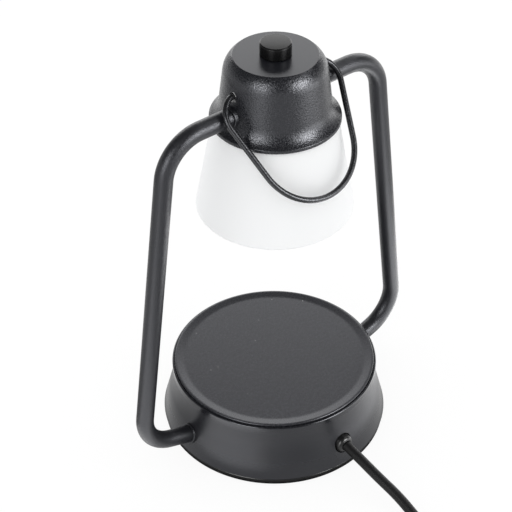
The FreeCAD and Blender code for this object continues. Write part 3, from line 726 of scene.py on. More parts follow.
@dataclass
class Painter:
    """Makes each finish's material once and gives it to pieces."""

    kit: ShaderKit
    made: dict[Finish, bpy.types.Material] = field(default_factory=dict)

    def material(self, finish: Finish) -> bpy.types.Material:
        """The material of a finish.

        Args:
            finish: the finish.

        Returns:
            Its material, which is built on first use.
        """
        if finish not in self.made:
            self.made[finish] = self.build(finish)
        return self.made[finish]

    def build(self, finish: Finish) -> bpy.types.Material:
        """Build a material from a finish.

        Args:
            finish: what the material looks like.

        Returns:
            The new material.
        """
        material = bpy.data.materials.new(finish.slot)
        material.use_nodes = True
        nodes, links = material.node_tree.nodes, material.node_tree.links
        shader = nodes["Principled BSDF"]
        self.fixed_values(shader, finish)
        where = nodes.new("ShaderNodeTexCoord").outputs["Object"]
        grain = self.group(nodes, links, self.kit.grain, where, Scale=finish.grain, Sand=finish.sand)
        colour = self.mix(nodes, links, grain.outputs["Tint"], finish.shade, finish.colour)
        if finish.specks[1] < 1.0:
            rate, rarity, size = finish.specks
            specks = self.group(nodes, links, self.kit.specks, where, Scale=rate, Rarity=rarity, Size=size)
            colour = self.mix(nodes, links, specks.outputs["Mask"], colour, finish.speck_colour)
        if finish.wear < 1.0:
            wear = self.group(nodes, links, self.kit.wear, where, Scale=WEAR_SCALE, Threshold=finish.wear)
            mask = nodes.new("ShaderNodeAttribute")
            mask.attribute_name = EDGE
            links.new(mask.outputs["Fac"], wear.inputs["Edge"])
            colour = self.mix(nodes, links, wear.outputs["Mask"], colour, finish.wear_colour)
        links.new(colour, shader.inputs["Base Color"])
        sparkle, height = grain.outputs["Sparkle" if finish.sandy else "Tint"], grain.outputs["Height"]
        if finish.calm > 0.0:
            sparkle = self.calmed(nodes, links, CALM, sparkle, finish.calm)
            height = self.calmed(nodes, links, CALM, height, LEVEL_HEIGHT)
        gloss = nodes.new("ShaderNodeMapRange")
        gloss.inputs["To Min"].default_value, gloss.inputs["To Max"].default_value = finish.gloss
        links.new(sparkle, gloss.inputs["Value"])
        rough = gloss.outputs[0]
        if finish.edge_gloss > 0.0:
            rough = self.calmed(nodes, links, EDGE, rough, finish.edge_gloss)
        links.new(rough, shader.inputs["Roughness"])
        bump = nodes.new("ShaderNodeBump")
        bump.inputs["Strength"].default_value = finish.bump
        bump.inputs["Distance"].default_value = finish.depth
        links.new(height, bump.inputs["Height"])
        links.new(bump.outputs[0], shader.inputs["Normal"])
        return material

    def fixed_values(self, shader: bpy.types.Node, finish: Finish) -> None:
        """Set what is the same all over the surface.

        Args:
            shader: the material's Principled BSDF.
            finish: what the material looks like.
        """
        shader.inputs["Metallic"].default_value = 1.0 if finish.surface is Surface.METAL else 0.0
        shader.inputs["IOR"].default_value = finish.ior
        shader.inputs["Specular IOR Level"].default_value = finish.specular
        if finish.surface is Surface.PAINT:
            shader.inputs["Specular Tint"].default_value = PAINT_TINT
        shader.inputs["Transmission Weight"].default_value = finish.transmission
        shader.inputs["Subsurface Weight"].default_value = finish.subsurface
        shader.inputs["Subsurface Radius"].default_value = (SCATTER_DEPTH,) * 3
        shader.inputs["Subsurface Scale"].default_value = 1.0

    def group(self, nodes: bpy.types.Nodes, links: bpy.types.NodeLinks, shared: ShaderGroup,
              where: bpy.types.NodeSocket, **values: float) -> bpy.types.Node:
        """Place a shared group with its own values.

        Args:
            nodes: the material's nodes.
            links: its links.
            shared: the group.
            where: the socket that gives the place.
            values: the group's other inputs.

        Returns:
            The group's node.
        """
        node = nodes.new("ShaderNodeGroup")
        node.node_tree = shared.tree
        links.new(where, node.inputs["Vector"])
        for label, value in values.items():
            node.inputs[label].default_value = value
        return node

    def calmed(self, nodes: bpy.types.Nodes, links: bpy.types.NodeLinks, attribute: str,
               value: bpy.types.NodeSocket, still: float) -> bpy.types.NodeSocket:
        """A value that gives way to a still one where an attribute of the piece says so.

        Args:
            nodes: the material's nodes.
            links: its links.
            attribute: the attribute's name.
            value: the value elsewhere.
            still: the value where the attribute is 1.

        Returns:
            The socket with the value.
        """
        where = nodes.new("ShaderNodeAttribute")
        where.attribute_name = attribute
        node = nodes.new("ShaderNodeMix")
        links.new(where.outputs["Fac"], node.inputs["Factor"])
        links.new(value, node.inputs["A"])
        node.inputs["B"].default_value = still
        return node.outputs[0]

    def mix(self, nodes: bpy.types.Nodes, links: bpy.types.NodeLinks, factor: bpy.types.NodeSocket,
            first: object, second: object) -> bpy.types.NodeSocket:
        """Mix two colours, each a socket or a colour, by a mask.

        Args:
            nodes: the material's nodes.
            links: its links.
            factor: the mask.
            first: the colour where the mask is 0.
            second: the colour where it is 1.

        Returns:
            The socket with the colour.
        """
        node = nodes.new("ShaderNodeMix")
        node.data_type = "RGBA"
        links.new(factor, node.inputs["Factor"])
        for socket, value in ((node.inputs[6], first), (node.inputs[7], second)):
            if isinstance(value, bpy.types.NodeSocket):
                links.new(value, socket)
            else:
                socket.default_value = (*value, 1.0)
        return node.outputs[2]


@dataclass(frozen=True)
class Finishes:
    """Every finish of the lamp."""

    cap: Finish = Finish("cap_paint", Surface.PAINT, (0.0115, 0.0120, 0.0150), (0.0085, 0.0089, 0.0115),
                         (0.16, 0.38), 1050.0, 0.5, 1.0, 0.00014, wear=0.8, wear_colour=(0.5, 0.5, 0.5),
                         specular=0.5, sandy=True, calm=0.55)
    housing: Finish = Finish("housing_paint", Surface.PAINT, (0.0120, 0.0124, 0.0152), (0.0095, 0.0098, 0.0122),
                             (0.34, 0.42), 1500.0, 0.3, 1.0, 0.00003, (170.0, 0.8, 0.05), (0.2, 0.2, 0.2),
                             specular=0.45, edge_gloss=0.14)
    plate: Finish = Finish("plate_paint", Surface.PAINT, (0.0205, 0.0210, 0.0250), (0.0175, 0.0180, 0.0215),
                           (0.262, 0.285), 1300.0, 0.4, 1.0, 0.00001, (220.0, 0.72, 0.10), (0.24, 0.24, 0.24),
                           specular=0.5)
    tube: Finish = Finish("tube_paint", Surface.PAINT, (0.0105, 0.0109, 0.0136), (0.0072, 0.0075, 0.0098),
                          (0.31, 0.45), 1150.0, 0.5, 1.0, 0.00010, specular=0.45, sandy=True)
    foot: Finish = Finish("foot_rubber", Surface.RUBBER, (0.008, 0.008, 0.0085), (0.006, 0.006, 0.0064), (0.12, 0.18),
                          900.0, 0.3, 0.08, specular=0.5)
    bail: Finish = Finish("bail_enamel", Surface.PAINT, (0.0085, 0.0086, 0.0098), (0.0065, 0.0066, 0.0075),
                          (0.20, 0.36), 1400.0, 0.3, 1.0, 0.00004, specular=0.45, sandy=True)
    knob: Finish = Finish("knob_plastic", Surface.PLASTIC, (0.006, 0.006, 0.0063), (0.005, 0.005, 0.0052),
                          (0.2, 0.28), 1600.0, 0.2, 0.05, specular=0.25)
    glass: Finish = Finish("opal_glass", Surface.GLASS, (0.966, 0.976, 0.983), (0.958, 0.968, 0.975), (0.62, 0.7),
                           260.0, 0.2, 0.03, subsurface=0.15, specular=0.15)
    bushing: Finish = Finish("bushing_nylon", Surface.PLASTIC, (0.009, 0.009, 0.0096), (0.007, 0.007, 0.0075),
                             (0.26, 0.34), 900.0, 0.2, 0.05, specular=0.42)
    cord: Finish = Finish("cord_jacket", Surface.RUBBER, (0.006, 0.006, 0.0064), (0.005, 0.005, 0.0053), (0.42, 0.52),
                          600.0, 0.2, 0.08, specular=0.25)
    plug: Finish = Finish("plug_pvc", Surface.RUBBER, (0.008, 0.008, 0.0085), (0.006, 0.006, 0.0064), (0.36, 0.46),
                          900.0, 0.3, 0.15, specular=0.35)
    steel: Finish = Finish("zinc_steel", Surface.METAL, (0.62, 0.62, 0.60), (0.52, 0.52, 0.50), (0.26, 0.40),
                           800.0, 0.2, 0.06)
    cover: Finish = Finish("cover_steel", Surface.PAINT, (0.020, 0.020, 0.021), (0.016, 0.016, 0.017), (0.42, 0.55),
                           1300.0, 0.5, 0.25, 0.0002)
    iron: Finish = Finish("iron", Surface.METAL, (0.14, 0.13, 0.125), (0.09, 0.085, 0.08), (0.5, 0.7),
                          500.0, 0.5, 0.4, 0.0003)
    ceramic: Finish = Finish("ceramic", Surface.CERAMIC, (0.80, 0.79, 0.75), (0.74, 0.73, 0.69), (0.45, 0.6),
                             700.0, 0.3, 0.1)
    bakelite: Finish = Finish("ring_bakelite", Surface.PLASTIC, (0.022, 0.022, 0.022), (0.017, 0.017, 0.017),
                              (0.26, 0.38), 700.0, 0.3, 0.06)
    silicone: Finish = Finish("silicone", Surface.RUBBER, (0.62, 0.62, 0.60), (0.56, 0.56, 0.54), (0.45, 0.6),
                              600.0, 0.2, 0.05)
    wires: Finish = Finish("wire_insulation", Surface.RUBBER, (0.72, 0.72, 0.70), (0.66, 0.66, 0.64), (0.35, 0.5),
                           500.0, 0.2, 0.05)
    bulb_neck: Finish = Finish("bulb_ceramic", Surface.CERAMIC, (0.84, 0.83, 0.80), (0.78, 0.77, 0.74), (0.4, 0.55),
                               600.0, 0.3, 0.08)
    mirror: Finish = Finish("bulb_mirror", Surface.METAL, (0.82, 0.82, 0.84), (0.76, 0.76, 0.79), (0.08, 0.16),
                            300.0, 0.1, 0.05)
    lens: Finish = Finish("bulb_glass", Surface.GLASS, (0.96, 0.97, 0.97), (0.94, 0.95, 0.96), (0.05, 0.12),
                          300.0, 0.1, 0.04, transmission=0.9)
    pins: Finish = Finish("pin_metal", Surface.METAL, (0.72, 0.68, 0.58), (0.62, 0.57, 0.46), (0.2, 0.32),
                          500.0, 0.2, 0.04)
    board: Finish = Finish("board", Surface.PLASTIC, (0.03, 0.16, 0.06), (0.02, 0.12, 0.045), (0.4, 0.5),
                           500.0, 0.2, 0.05)
    component: Finish = Finish("component", Surface.PLASTIC, (0.05, 0.09, 0.24), (0.04, 0.07, 0.19), (0.25, 0.35),
                               500.0, 0.2, 0.05)
    tie: Finish = Finish("tie_strap", Surface.RUBBER, (0.011, 0.011, 0.0115), (0.007, 0.007, 0.0074), (0.7, 0.85),
                         1800.0, 0.6, 0.5, 0.0002, specular=0.3, recorded=False)
    dimmer_case: Finish = Finish("dimmer_case", Surface.PLASTIC, (0.05, 0.05, 0.052), (0.04, 0.04, 0.042),
                                 (0.4, 0.5), 700.0, 0.3, 0.08)


# ---- Sub-assemblies -----------------------------------------------------------------------
@dataclass
class SubAssembly:
    """What every sub-assembly can do: dress its pieces and set them on their CAD body."""

    painter: Painter
    repeater: Repeater
    finishes: Finishes
    body: str = "lamp"
    pieces: list[bpy.types.Object] = field(default_factory=list)

    def place(self, obj: bpy.types.Object, finish: Finish, *nodes: str) -> bpy.types.Object:
        """Give a new piece its finish, its body and the CAD nodes that it stands for.

        Args:
            obj: the piece, in its place.
            finish: its finish.
            nodes: the CAD nodes that it replaces.

        Returns:
            The piece.
        """
        obj.data.materials.clear()
        obj.data.materials.append(self.painter.material(finish))
        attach(obj, self.body)
        if nodes:
            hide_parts(*nodes)
        self.pieces.append(obj)
        return obj

    def dress(self, finish: Finish, *nodes: str) -> None:
        """Give CAD nodes that are shown as they are their finish.

        Args:
            finish: the finish.
            nodes: the nodes' names.
        """
        for name in nodes:
            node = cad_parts[name]
            node.data.materials.clear()
            node.data.materials.append(self.painter.material(finish))
            self.pieces.append(node)

    def build(self) -> None:
        """Make and dress every piece."""
        raise NotImplementedError

    def report(self) -> None:
        """Log every piece that was made."""
        for piece in self.pieces:
            LOG.info("%s: %s, %d faces", type(self).__name__, piece.name,
                     len(piece.data.polygons) if isinstance(piece.data, bpy.types.Mesh) else 0)


@dataclass
class Base(SubAssembly):
    """Weighted base: housing, warming plate, foot ring, cover and the lead's bushing."""

    foot_inner_r: float = 58.5
    foot_r: float = 65.5
    foot_top: float = 3.7
    cover_r: float = 62.6
    cover_bottom: float = 4.4
    skirt_r: float = 66.3
    waist_r: float = 60.2
    waist_z: float = 27.5
    waist_rounding: float = 50.0
    wall: float = 2.4
    bottom: float = 4.3
    top: float = 39.8
    lip_inner_r: float = 59.1
    deck: float = 2.4
    deck_top: float = 37.6
    deck_hole_r: float = 40.0
    plate_r: float = 58.7
    plate_top: float = 41.0
    plate_seat: float = 40.3
    plate_crest_r: float = 57.4
    plate_slope_r: float = 53.2
    spigot_gap: float = 0.3
    lead_z: float = 17.0
    lead_hole_r: float = 6.0
    lead_hole_from: float = 50.0
    lead_hole_to: float = 70.0
    bushing_r: float = 5.4
    bushing_tip: float = 65.9
    bushing_flange_r: float = 8.2
    bushing_flange: tuple[float, float] = (54.0, 57.6)
    screw_x: float = 51.0
    screw_head_r: float = 2.9
    screw_head: float = 1.9
    screw_crown_r: float = 1.6
    screw_shank_r: float = 1.5
    screw_shank: float = 11.6
    recess_reach: float = 1.5
    recess_r: float = 0.55

    def housing(self, entry: Sequence[bpy.types.Object]) -> bpy.types.Object:
        """Spun housing with the holes for the tubes and the lead.

        Args:
            entry: cutters of the tubes' holes.

        Returns:
            The housing.
        """
        under = self.deck_top - self.deck
        inner = self.waist_r - self.wall
        outside = [(self.skirt_r, self.bottom, 0.4), (self.waist_r, self.waist_z, self.waist_rounding),
                   (self.waist_r, self.top, 0.8)]
        top = [(self.lip_inner_r, self.top, 0.2), (self.lip_inner_r, self.deck_top),
               (self.deck_hole_r, self.deck_top), (self.deck_hole_r, under)]
        inside = [(inner, under, 0.8), (inner, self.waist_z, self.waist_rounding + self.wall),
                  (self.skirt_r - self.wall, self.bottom)]
        shell = turned("housing", [*outside, *top, *inside], 256, 2.0)
        lead = cylinder("lead_hole", Vector((0.0, -self.lead_hole_from, self.lead_z)),
                        Vector((0.0, -self.lead_hole_to, self.lead_z)), self.lead_hole_r)
        return cut(shell, [lead, *entry])

    def warming_plate(self) -> bpy.types.Object:
        """Dished plate with a raised rim, inside the lip of the housing.

        Returns:
            The plate.
        """
        spigot, low = self.deck_hole_r - self.spigot_gap, self.deck_top - self.deck
        rim = [(self.plate_r, self.deck_top, 0.3), (self.plate_r, self.plate_top, 0.6),
               (self.plate_crest_r, self.plate_top, 3.0), (self.plate_slope_r, self.plate_seat + 0.1, 14.0)]
        return turned("plate", [(0.0, low), (spigot, low), (spigot, self.deck_top), *rim, (0.0, self.plate_seat)],
                      256, 3.0)

    def foot(self) -> bpy.types.Object:
        """Moulded rubber ring under the edge of the cover.

        Returns:
            The ring.
        """
        return turned("foot", [(self.foot_inner_r, 0.0, 0.8), (self.foot_r, 0.0, 0.9),
                               (self.foot_r, self.foot_top, 0.5), (self.cover_r, self.foot_top),
                               (self.cover_r, self.cover_bottom), (self.foot_inner_r, self.cover_bottom)], 256, 12.0)

    def bushing(self) -> bpy.types.Object:
        """Domed bushing that the lead leaves through.

        Returns:
            The bushing.
        """
        bore = CORD_R + 0.05
        start, end = self.bushing_flange
        flange = [(self.bushing_flange_r, start, 0.5), (self.bushing_flange_r, end, 0.4)]
        dome = turned("bushing", [(bore, start), *flange, (self.bushing_r, end),
                                  (self.bushing_r, self.bushing_tip - 0.6, 2.4), (bore, self.bushing_tip, 0.3)],
                      96, 8.0)
        turn = Matrix.Translation((0.0, 0.0, self.lead_z * MM)) @ Matrix.Rotation(math.radians(90.0), 4, "X")
        return moved(dome, turn)

    def screw(self) -> bpy.types.Object:
        """Pan-head screw in its place under the cover, with a cross recess.

        Returns:
            The screw.
        """
        seat = self.cover_bottom
        low, tip = seat - self.screw_head, seat + self.screw_shank
        corners = [(0.0, low), (self.screw_crown_r, low), (self.screw_head_r, low + 0.2, 0.9),
                   (self.screw_head_r, seat, 0.1), (self.screw_shank_r, seat), (self.screw_shank_r, tip), (0.0, tip)]
        head = turned("cover_screws_seen", corners, 32, 15.0)
        reach = Vector((self.recess_reach, 0.0, 0.0))
        middle = Vector((0.0, 0.0, low))
        slots = []
        for turn in (0.0, 90.0):
            slot = cylinder("slot", middle - reach, middle + reach, self.recess_r, 4)
            slots.append(moved(slot, Matrix.Rotation(math.radians(turn), 4, "Z")))
        cut(head, slots)
        moved(head, Matrix.Translation((self.screw_x * MM, 0.0, 0.0)))
        return moved(head, Matrix.Rotation(math.radians(45.0), 4, "Z"))

    def build(self) -> None:
        """Make the base."""
        look = self.finishes
        cutters = [SideTubes.entry_cutter(side) for side in (1.0, -1.0)]
        self.place(self.housing(cutters), look.housing, "base_housing")
        self.place(self.warming_plate(), look.plate, "warming_plate")
        self.place(self.foot(), look.foot, "foot_ring")
        self.place(self.bushing(), look.bushing, "cord_bushing")
        screws = self.repeater.repeat(self.screw(), 4, self.painter.material(look.steel), turn=90.0)
        self.place(screws, look.steel, "cover_screws")
        self.dress(look.cover, "bottom_cover")
        self.dress(look.iron, "ballast_weight")
        self.dress(look.steel, "plate_bolt", "clamp_screws")
        self.dress(look.bushing, "cord_clamp")
        self.dress(look.ceramic, "terminal_block")
        self.dress(look.cord, "cord_inner_end")


@dataclass
class SideTubes(SubAssembly):
    """The two bent side tubes with the collars and fixings at their ends."""

    tube_r: float = 5.0
    bore_r: float = 4.0
    high_z: float = UPPER_RUN_Z
    leg_x: float = 99.55
    leg_lean: float = 0.1336
    low_bend: float = 23.9
    high_bend: float = 23.6
    entry_x: float = 62.0
    entry_z: float = 15.2
    entry_rise: float = math.radians(18.8)
    base_end: float = 3.6
    head_end: float = 25.5
    collar_r: float = 5.9
    base_collar: tuple[float, float] = (-3.0, 1.8)
    head_collar: tuple[float, float] = (28.6, 30.9)
    collar_gap: float = 0.03
    hole_reach: float = 8.0
    hole_gap: float = 0.15

    def inward(self, distance: float) -> Vector:
        """Point on the sloping lower run, a distance inward from where it enters the housing."""
        return Vector((self.entry_x - distance * math.cos(self.entry_rise), 0.0,
                       self.entry_z - distance * math.sin(self.entry_rise)))

    @classmethod
    def entry_cutter(cls, side: float) -> bpy.types.Object:
        """Cutter for a tube's hole in the housing.

        Args:
            side: 1 on the right and -1 on the left.

        Returns:
            The cutter.
        """
        rise = cls.entry_rise
        ends = []
        for distance in (-cls.hole_reach, cls.hole_reach):
            ends.append(Vector((side * (cls.entry_x - distance * math.cos(rise)), 0.0,
                                cls.entry_z - distance * math.sin(rise))))
        return cylinder("tube_hole", ends[0], ends[1], cls.tube_r + cls.hole_gap)

    def line(self) -> list[Vector]:
        """Centre line of the right tube.

        Returns:
            Its points in millimetres.
        """
        rise = math.tan(self.entry_rise)
        x = (self.leg_x - self.leg_lean * (self.entry_z - rise * self.entry_x)) / (1.0 + self.leg_lean * rise)
        low = Vector((x, 0.0, self.entry_z + rise * (x - self.entry_x)))
        high = Vector((self.leg_x - self.leg_lean * self.high_z, 0.0, self.high_z))
        end = Vector((self.head_end, 0.0, self.high_z))
        return rounded_line([(self.inward(self.base_end), 0.0), (low, self.low_bend), (high, self.high_bend),
                             (end, 0.0)], 3.0, 4.0)

    def collar(self, name: str, low: float, high: float, outer_low: bool) -> bpy.types.Object:
        """Thin collar about Z whose outer face is rounded towards the tube.

        Args:
            name: the collar's name.
            low: where it starts.
            high: where it ends.
            outer_low: whether its outer face is the low one.

        Returns:
            The collar.
        """
        bore, out = self.tube_r + self.collar_gap, self.collar_r
        if outer_low:
            return turned(name, [(bore, low, 0.15), (out, low, 0.5), (out, high), (bore, high)], 96, 12.0)
        return turned(name, [(bore, low), (out, low), (out, high, 0.5), (bore, high, 0.15)], 96, 12.0)

    def build(self) -> None:
        """Make both tubes and their collars."""
        look = self.finishes
        line = self.line()
        right = swept("right_side_tube", line, [self.tube_r] * len(line), self.bore_r, 64)
        self.place(mirrored(right, "left_side_tube"), look.tube, "left_tube")
        self.place(right, look.tube, "right_tube")
        lay_base = Matrix.Translation(self.inward(0.0) * MM) @ Matrix.Rotation(
            -math.radians(90.0) - self.entry_rise, 4, "Y")
        lay_head = Matrix.Translation((0.0, 0.0, self.high_z * MM)) @ Matrix.Rotation(math.radians(90.0), 4, "Y")
        base = moved(self.collar("base_collar_right", *self.base_collar, True), lay_base)
        head = moved(self.collar("head_collar_right", *self.head_collar, False), lay_head)
        base_pair = joined("base_collars", [mirrored(base, "base_collar_left"), base])
        head_pair = joined("head_collars", [mirrored(head, "head_collar_left"), head])
        self.place(base_pair, look.tube, "base_ferrules")
        self.place(head_pair, look.tube, "head_ferrules")
        self.dress(look.steel, "base_nipples", "head_nipples", "base_nuts", "base_washers", "head_nuts",
                   "head_washers")
        self.dress(look.wires, "riser_cable")


@dataclass
class Head(SubAssembly):
    """Bell-shaped cap with the lampholder and its carrier inside."""

    flange_r: float = 34.8
    flange_bottom: float = 209.2
    flange_top: float = 211.2
    top: float = 247.2
    disc_r: float = 22.2
    wall: float = 1.8
    shoulder: Corner = (26.68, 243.4, 14.0)
    flare: Corner = (30.16, 215.1, 14.0)
    pivot_z: float = PIVOT_Z
    pivot_hole_r: float = 1.68
    pivot_sink_r: float = 2.5
    pivot_sink: tuple[float, float] = (27.2, 28.8)
    pivot_reach: float = 40.0
    rim_width: float = 0.6
    rim_from_x: float = 24.0
    rim_wear: float = 1.75
    tube_z: float = UPPER_RUN_Z
    tube_hole: tuple[float, float] = (22.0, 45.0)
    tube_hole_r: float = 5.15
    bush_hole_r: float = 3.6
    bush_reach: float = 5.0

    def outline(self) -> list[Corner]:
        """Outline of the cap's wall, outside and inside.

        Returns:
            Its corners.
        """
        flange_in = self.flange_r - self.wall
        return [(self.flange_r, self.flange_bottom, 0.5), (self.flange_r, self.flange_top, 0.6), self.flare,
                self.shoulder, (self.disc_r, self.top), (0.0, self.top), (0.0, self.top - self.wall),
                (self.disc_r - 1.2, self.top - self.wall, 2.0),
                (self.shoulder[0] - self.wall - 0.2, self.shoulder[1] - 1.0, 8.0),
                (self.flare[0] - self.wall, self.flare[1] + 0.4, 12.0),
                (flange_in, self.flange_top + 0.5, 0.8), (flange_in, self.flange_bottom, 0.3)]

    def cap(self) -> bpy.types.Object:
        """Cap with its holes for the tubes, the bail and the dimmer.

        Returns:
            The cap.
        """
        shell = turned("cap", self.outline(), 256, 4.0, 14.0)
        along = Vector((0.0, 0.0, self.pivot_z))
        reach = Vector((self.pivot_reach, 0.0, 0.0))
        cutters = [cylinder("pivot_hole", along - reach, along + reach, self.pivot_hole_r, 48),
                   cylinder("bush_hole", Vector((0.0, 0.0, self.top - self.bush_reach)),
                            Vector((0.0, 0.0, self.top + self.bush_reach)), self.bush_hole_r, 48)]
        for side in (1.0, -1.0):
            start, end = (Vector((side * x, 0.0, self.tube_z)) for x in self.tube_hole)
            cutters.append(cylinder("tube_hole", start, end, self.tube_hole_r))
            sink = [Vector((side * x, 0.0, self.pivot_z)) for x in self.pivot_sink]
            cutters.append(swept("sink", sink, [self.pivot_hole_r, self.pivot_sink_r + 1.0], 0.0, 48))
        return self.worn_rims(self.calm_top(cut(shell, cutters, 14.0)))

    def calm_top(self, cap: bpy.types.Object) -> bpy.types.Object:
        """Mark the flat top, whose coat is smooth, with the attribute CALM.

        Args:
            cap: the cap.

        Returns:
            The same object.
        """
        layer = cap.data.attributes.new(CALM, "FLOAT", "POINT")
        rim = (self.disc_r + 0.1) * MM
        level = (self.top - 0.02) * MM
        for vert, place in zip(cap.data.vertices, layer.data):
            place.value = float(vert.co.z > level and math.hypot(vert.co.x, vert.co.y) < rim)
        return cap

    def worn_rims(self, cap: bpy.types.Object) -> bpy.types.Object:
        """Mark the rims of the two pivot holes, whose coat is chipped, with the attribute EDGE.

        Args:
            cap: the cap.

        Returns:
            The same object.
        """
        layer = cap.data.attributes[EDGE]
        for vert, place in zip(cap.data.vertices, layer.data):
            off_axis = math.hypot(vert.co.y, vert.co.z - self.pivot_z * MM)
            if off_axis < (self.pivot_sink_r + self.rim_width) * MM and abs(vert.co.x) > self.rim_from_x * MM:
                place.value = self.rim_wear
        return cap

    def build(self) -> None:
        """Make the head."""
        look = self.finishes
        self.place(self.cap(), look.cap, "cap_shell")
        self.dress(look.cover, "lampholder_carrier")
        self.dress(look.steel, "carrier_screws", "lampholder_screws")
        self.dress(look.ceramic, "lampholder")
        self.dress(look.wires, "lampholder_leads")


@dataclass
class Shade(SubAssembly):
    """Frosted glass shade with its gasket and ring nut."""

    top: float = 209.9
    bottom: float = 153.8
    top_r: float = 32.9
    bottom_r: float = 43.3
    wall: float = 2.6
    neck_r: float = 20.4

    def build(self) -> None:
        """Make the shade."""
        glass = turned("frosted_shade", [(self.neck_r, self.top, 0.8), (self.top_r, self.top, 3.4),
                                         (self.bottom_r, self.bottom, 1.2),
                                         (self.bottom_r - self.wall, self.bottom, 1.2),
                                         (self.top_r - self.wall + 0.4, self.top - self.wall, 2.0),
                                         (self.neck_r, self.top - self.wall, 0.8)], 256, 8.0)
        self.place(glass, self.finishes.glass, "shade")
        self.dress(self.finishes.silicone, "shade_gasket")
        self.dress(self.finishes.bakelite, "shade_ring")


@dataclass
class Bulb(SubAssembly):
    """Twist-lock reflector bulb."""

    def build(self) -> None:
        """Dress the bulb's parts."""
        look = self.finishes
        self.dress(look.bulb_neck, "bulb_base")
        self.dress(look.pins, "bulb_pins")
        self.dress(look.mirror, "bulb_reflector")
        self.dress(look.lens, "bulb_lens", "bulb_capsule")


@dataclass
class Dimmer(SubAssembly):
    """Rotary dimmer in the cap, without its shaft."""

    def build(self) -> None:
        """Dress the dimmer's parts."""
        look = self.finishes
        self.dress(look.dimmer_case, "dimmer_body")
        self.dress(look.steel, "dimmer_nut")
        self.dress(look.board, "dimmer_board")
        self.dress(look.component, "dimmer_choke", "dimmer_capacitor")


@dataclass
class Knob(SubAssembly):
    """Plain round knob on the dimmer's shaft."""

    body: str = "knob"
    radius: float = 8.3
    bottom: float = 247.5
    top: float = 254.4
    chamfer: float = 0.55
    hollow_r: float = 6.7
    hollow: float = 3.1
    bore_r: float = 3.0
    bore: float = 5.7

    def build(self) -> None:
        """Make the knob."""
        bore_top, hollow_top = self.bottom + self.bore, self.bottom + self.hollow
        cap = turned("dimmer_knob", [(self.hollow_r, self.bottom), (self.radius, self.bottom, 0.3),
                                     (self.radius, self.top - self.chamfer, 0.3),
                                     (self.radius - self.chamfer, self.top, 0.3), (0.0, self.top),
                                     (0.0, bore_top), (self.bore_r, bore_top), (self.bore_r, hollow_top),
                                     (self.hollow_r, hollow_top)], 128, 12.0)
        self.place(cap, self.finishes.knob, "knob")
        self.dress(self.finishes.steel, "dimmer_shaft")


@dataclass
class Bail(SubAssembly):
    """Swinging wire bail."""

    body: str = "bail"
    wire_r: float = 1.6
    pivot_z: float = PIVOT_Z
    tilt: float = math.radians(41.0)
    inner_end: float = 23.6
    neck: Corner = (29.5, 0.0, 4.25)
    shoulder: Corner = (39.0, 5.2, 12.4)
    foot: Corner = (23.1, 66.5, 29.9)

    def point(self, x: float, drop: float) -> Vector:
        """A point of the bail's own plane, which leans out from the pivots towards -Y."""
        return Vector((x, -drop * math.sin(self.tilt), self.pivot_z - drop * math.cos(self.tilt)))

    def build(self) -> None:
        """Make the bail."""
        bends = (self.neck, self.shoulder, self.foot)
        corners = [(self.point(-self.inner_end, 0.0), 0.0)]
        corners += [(self.point(-x, drop), radius) for x, drop, radius in bends]
        corners += [(self.point(x, drop), radius) for x, drop, radius in reversed(bends)]
        corners.append((self.point(self.inner_end, 0.0), 0.0))
        line = rounded_line(corners, 4.0, 3.0)
        self.place(swept("wire_bail", line, [self.wire_r] * len(line), 0.0, 32), self.finishes.bail, "bail_handle")


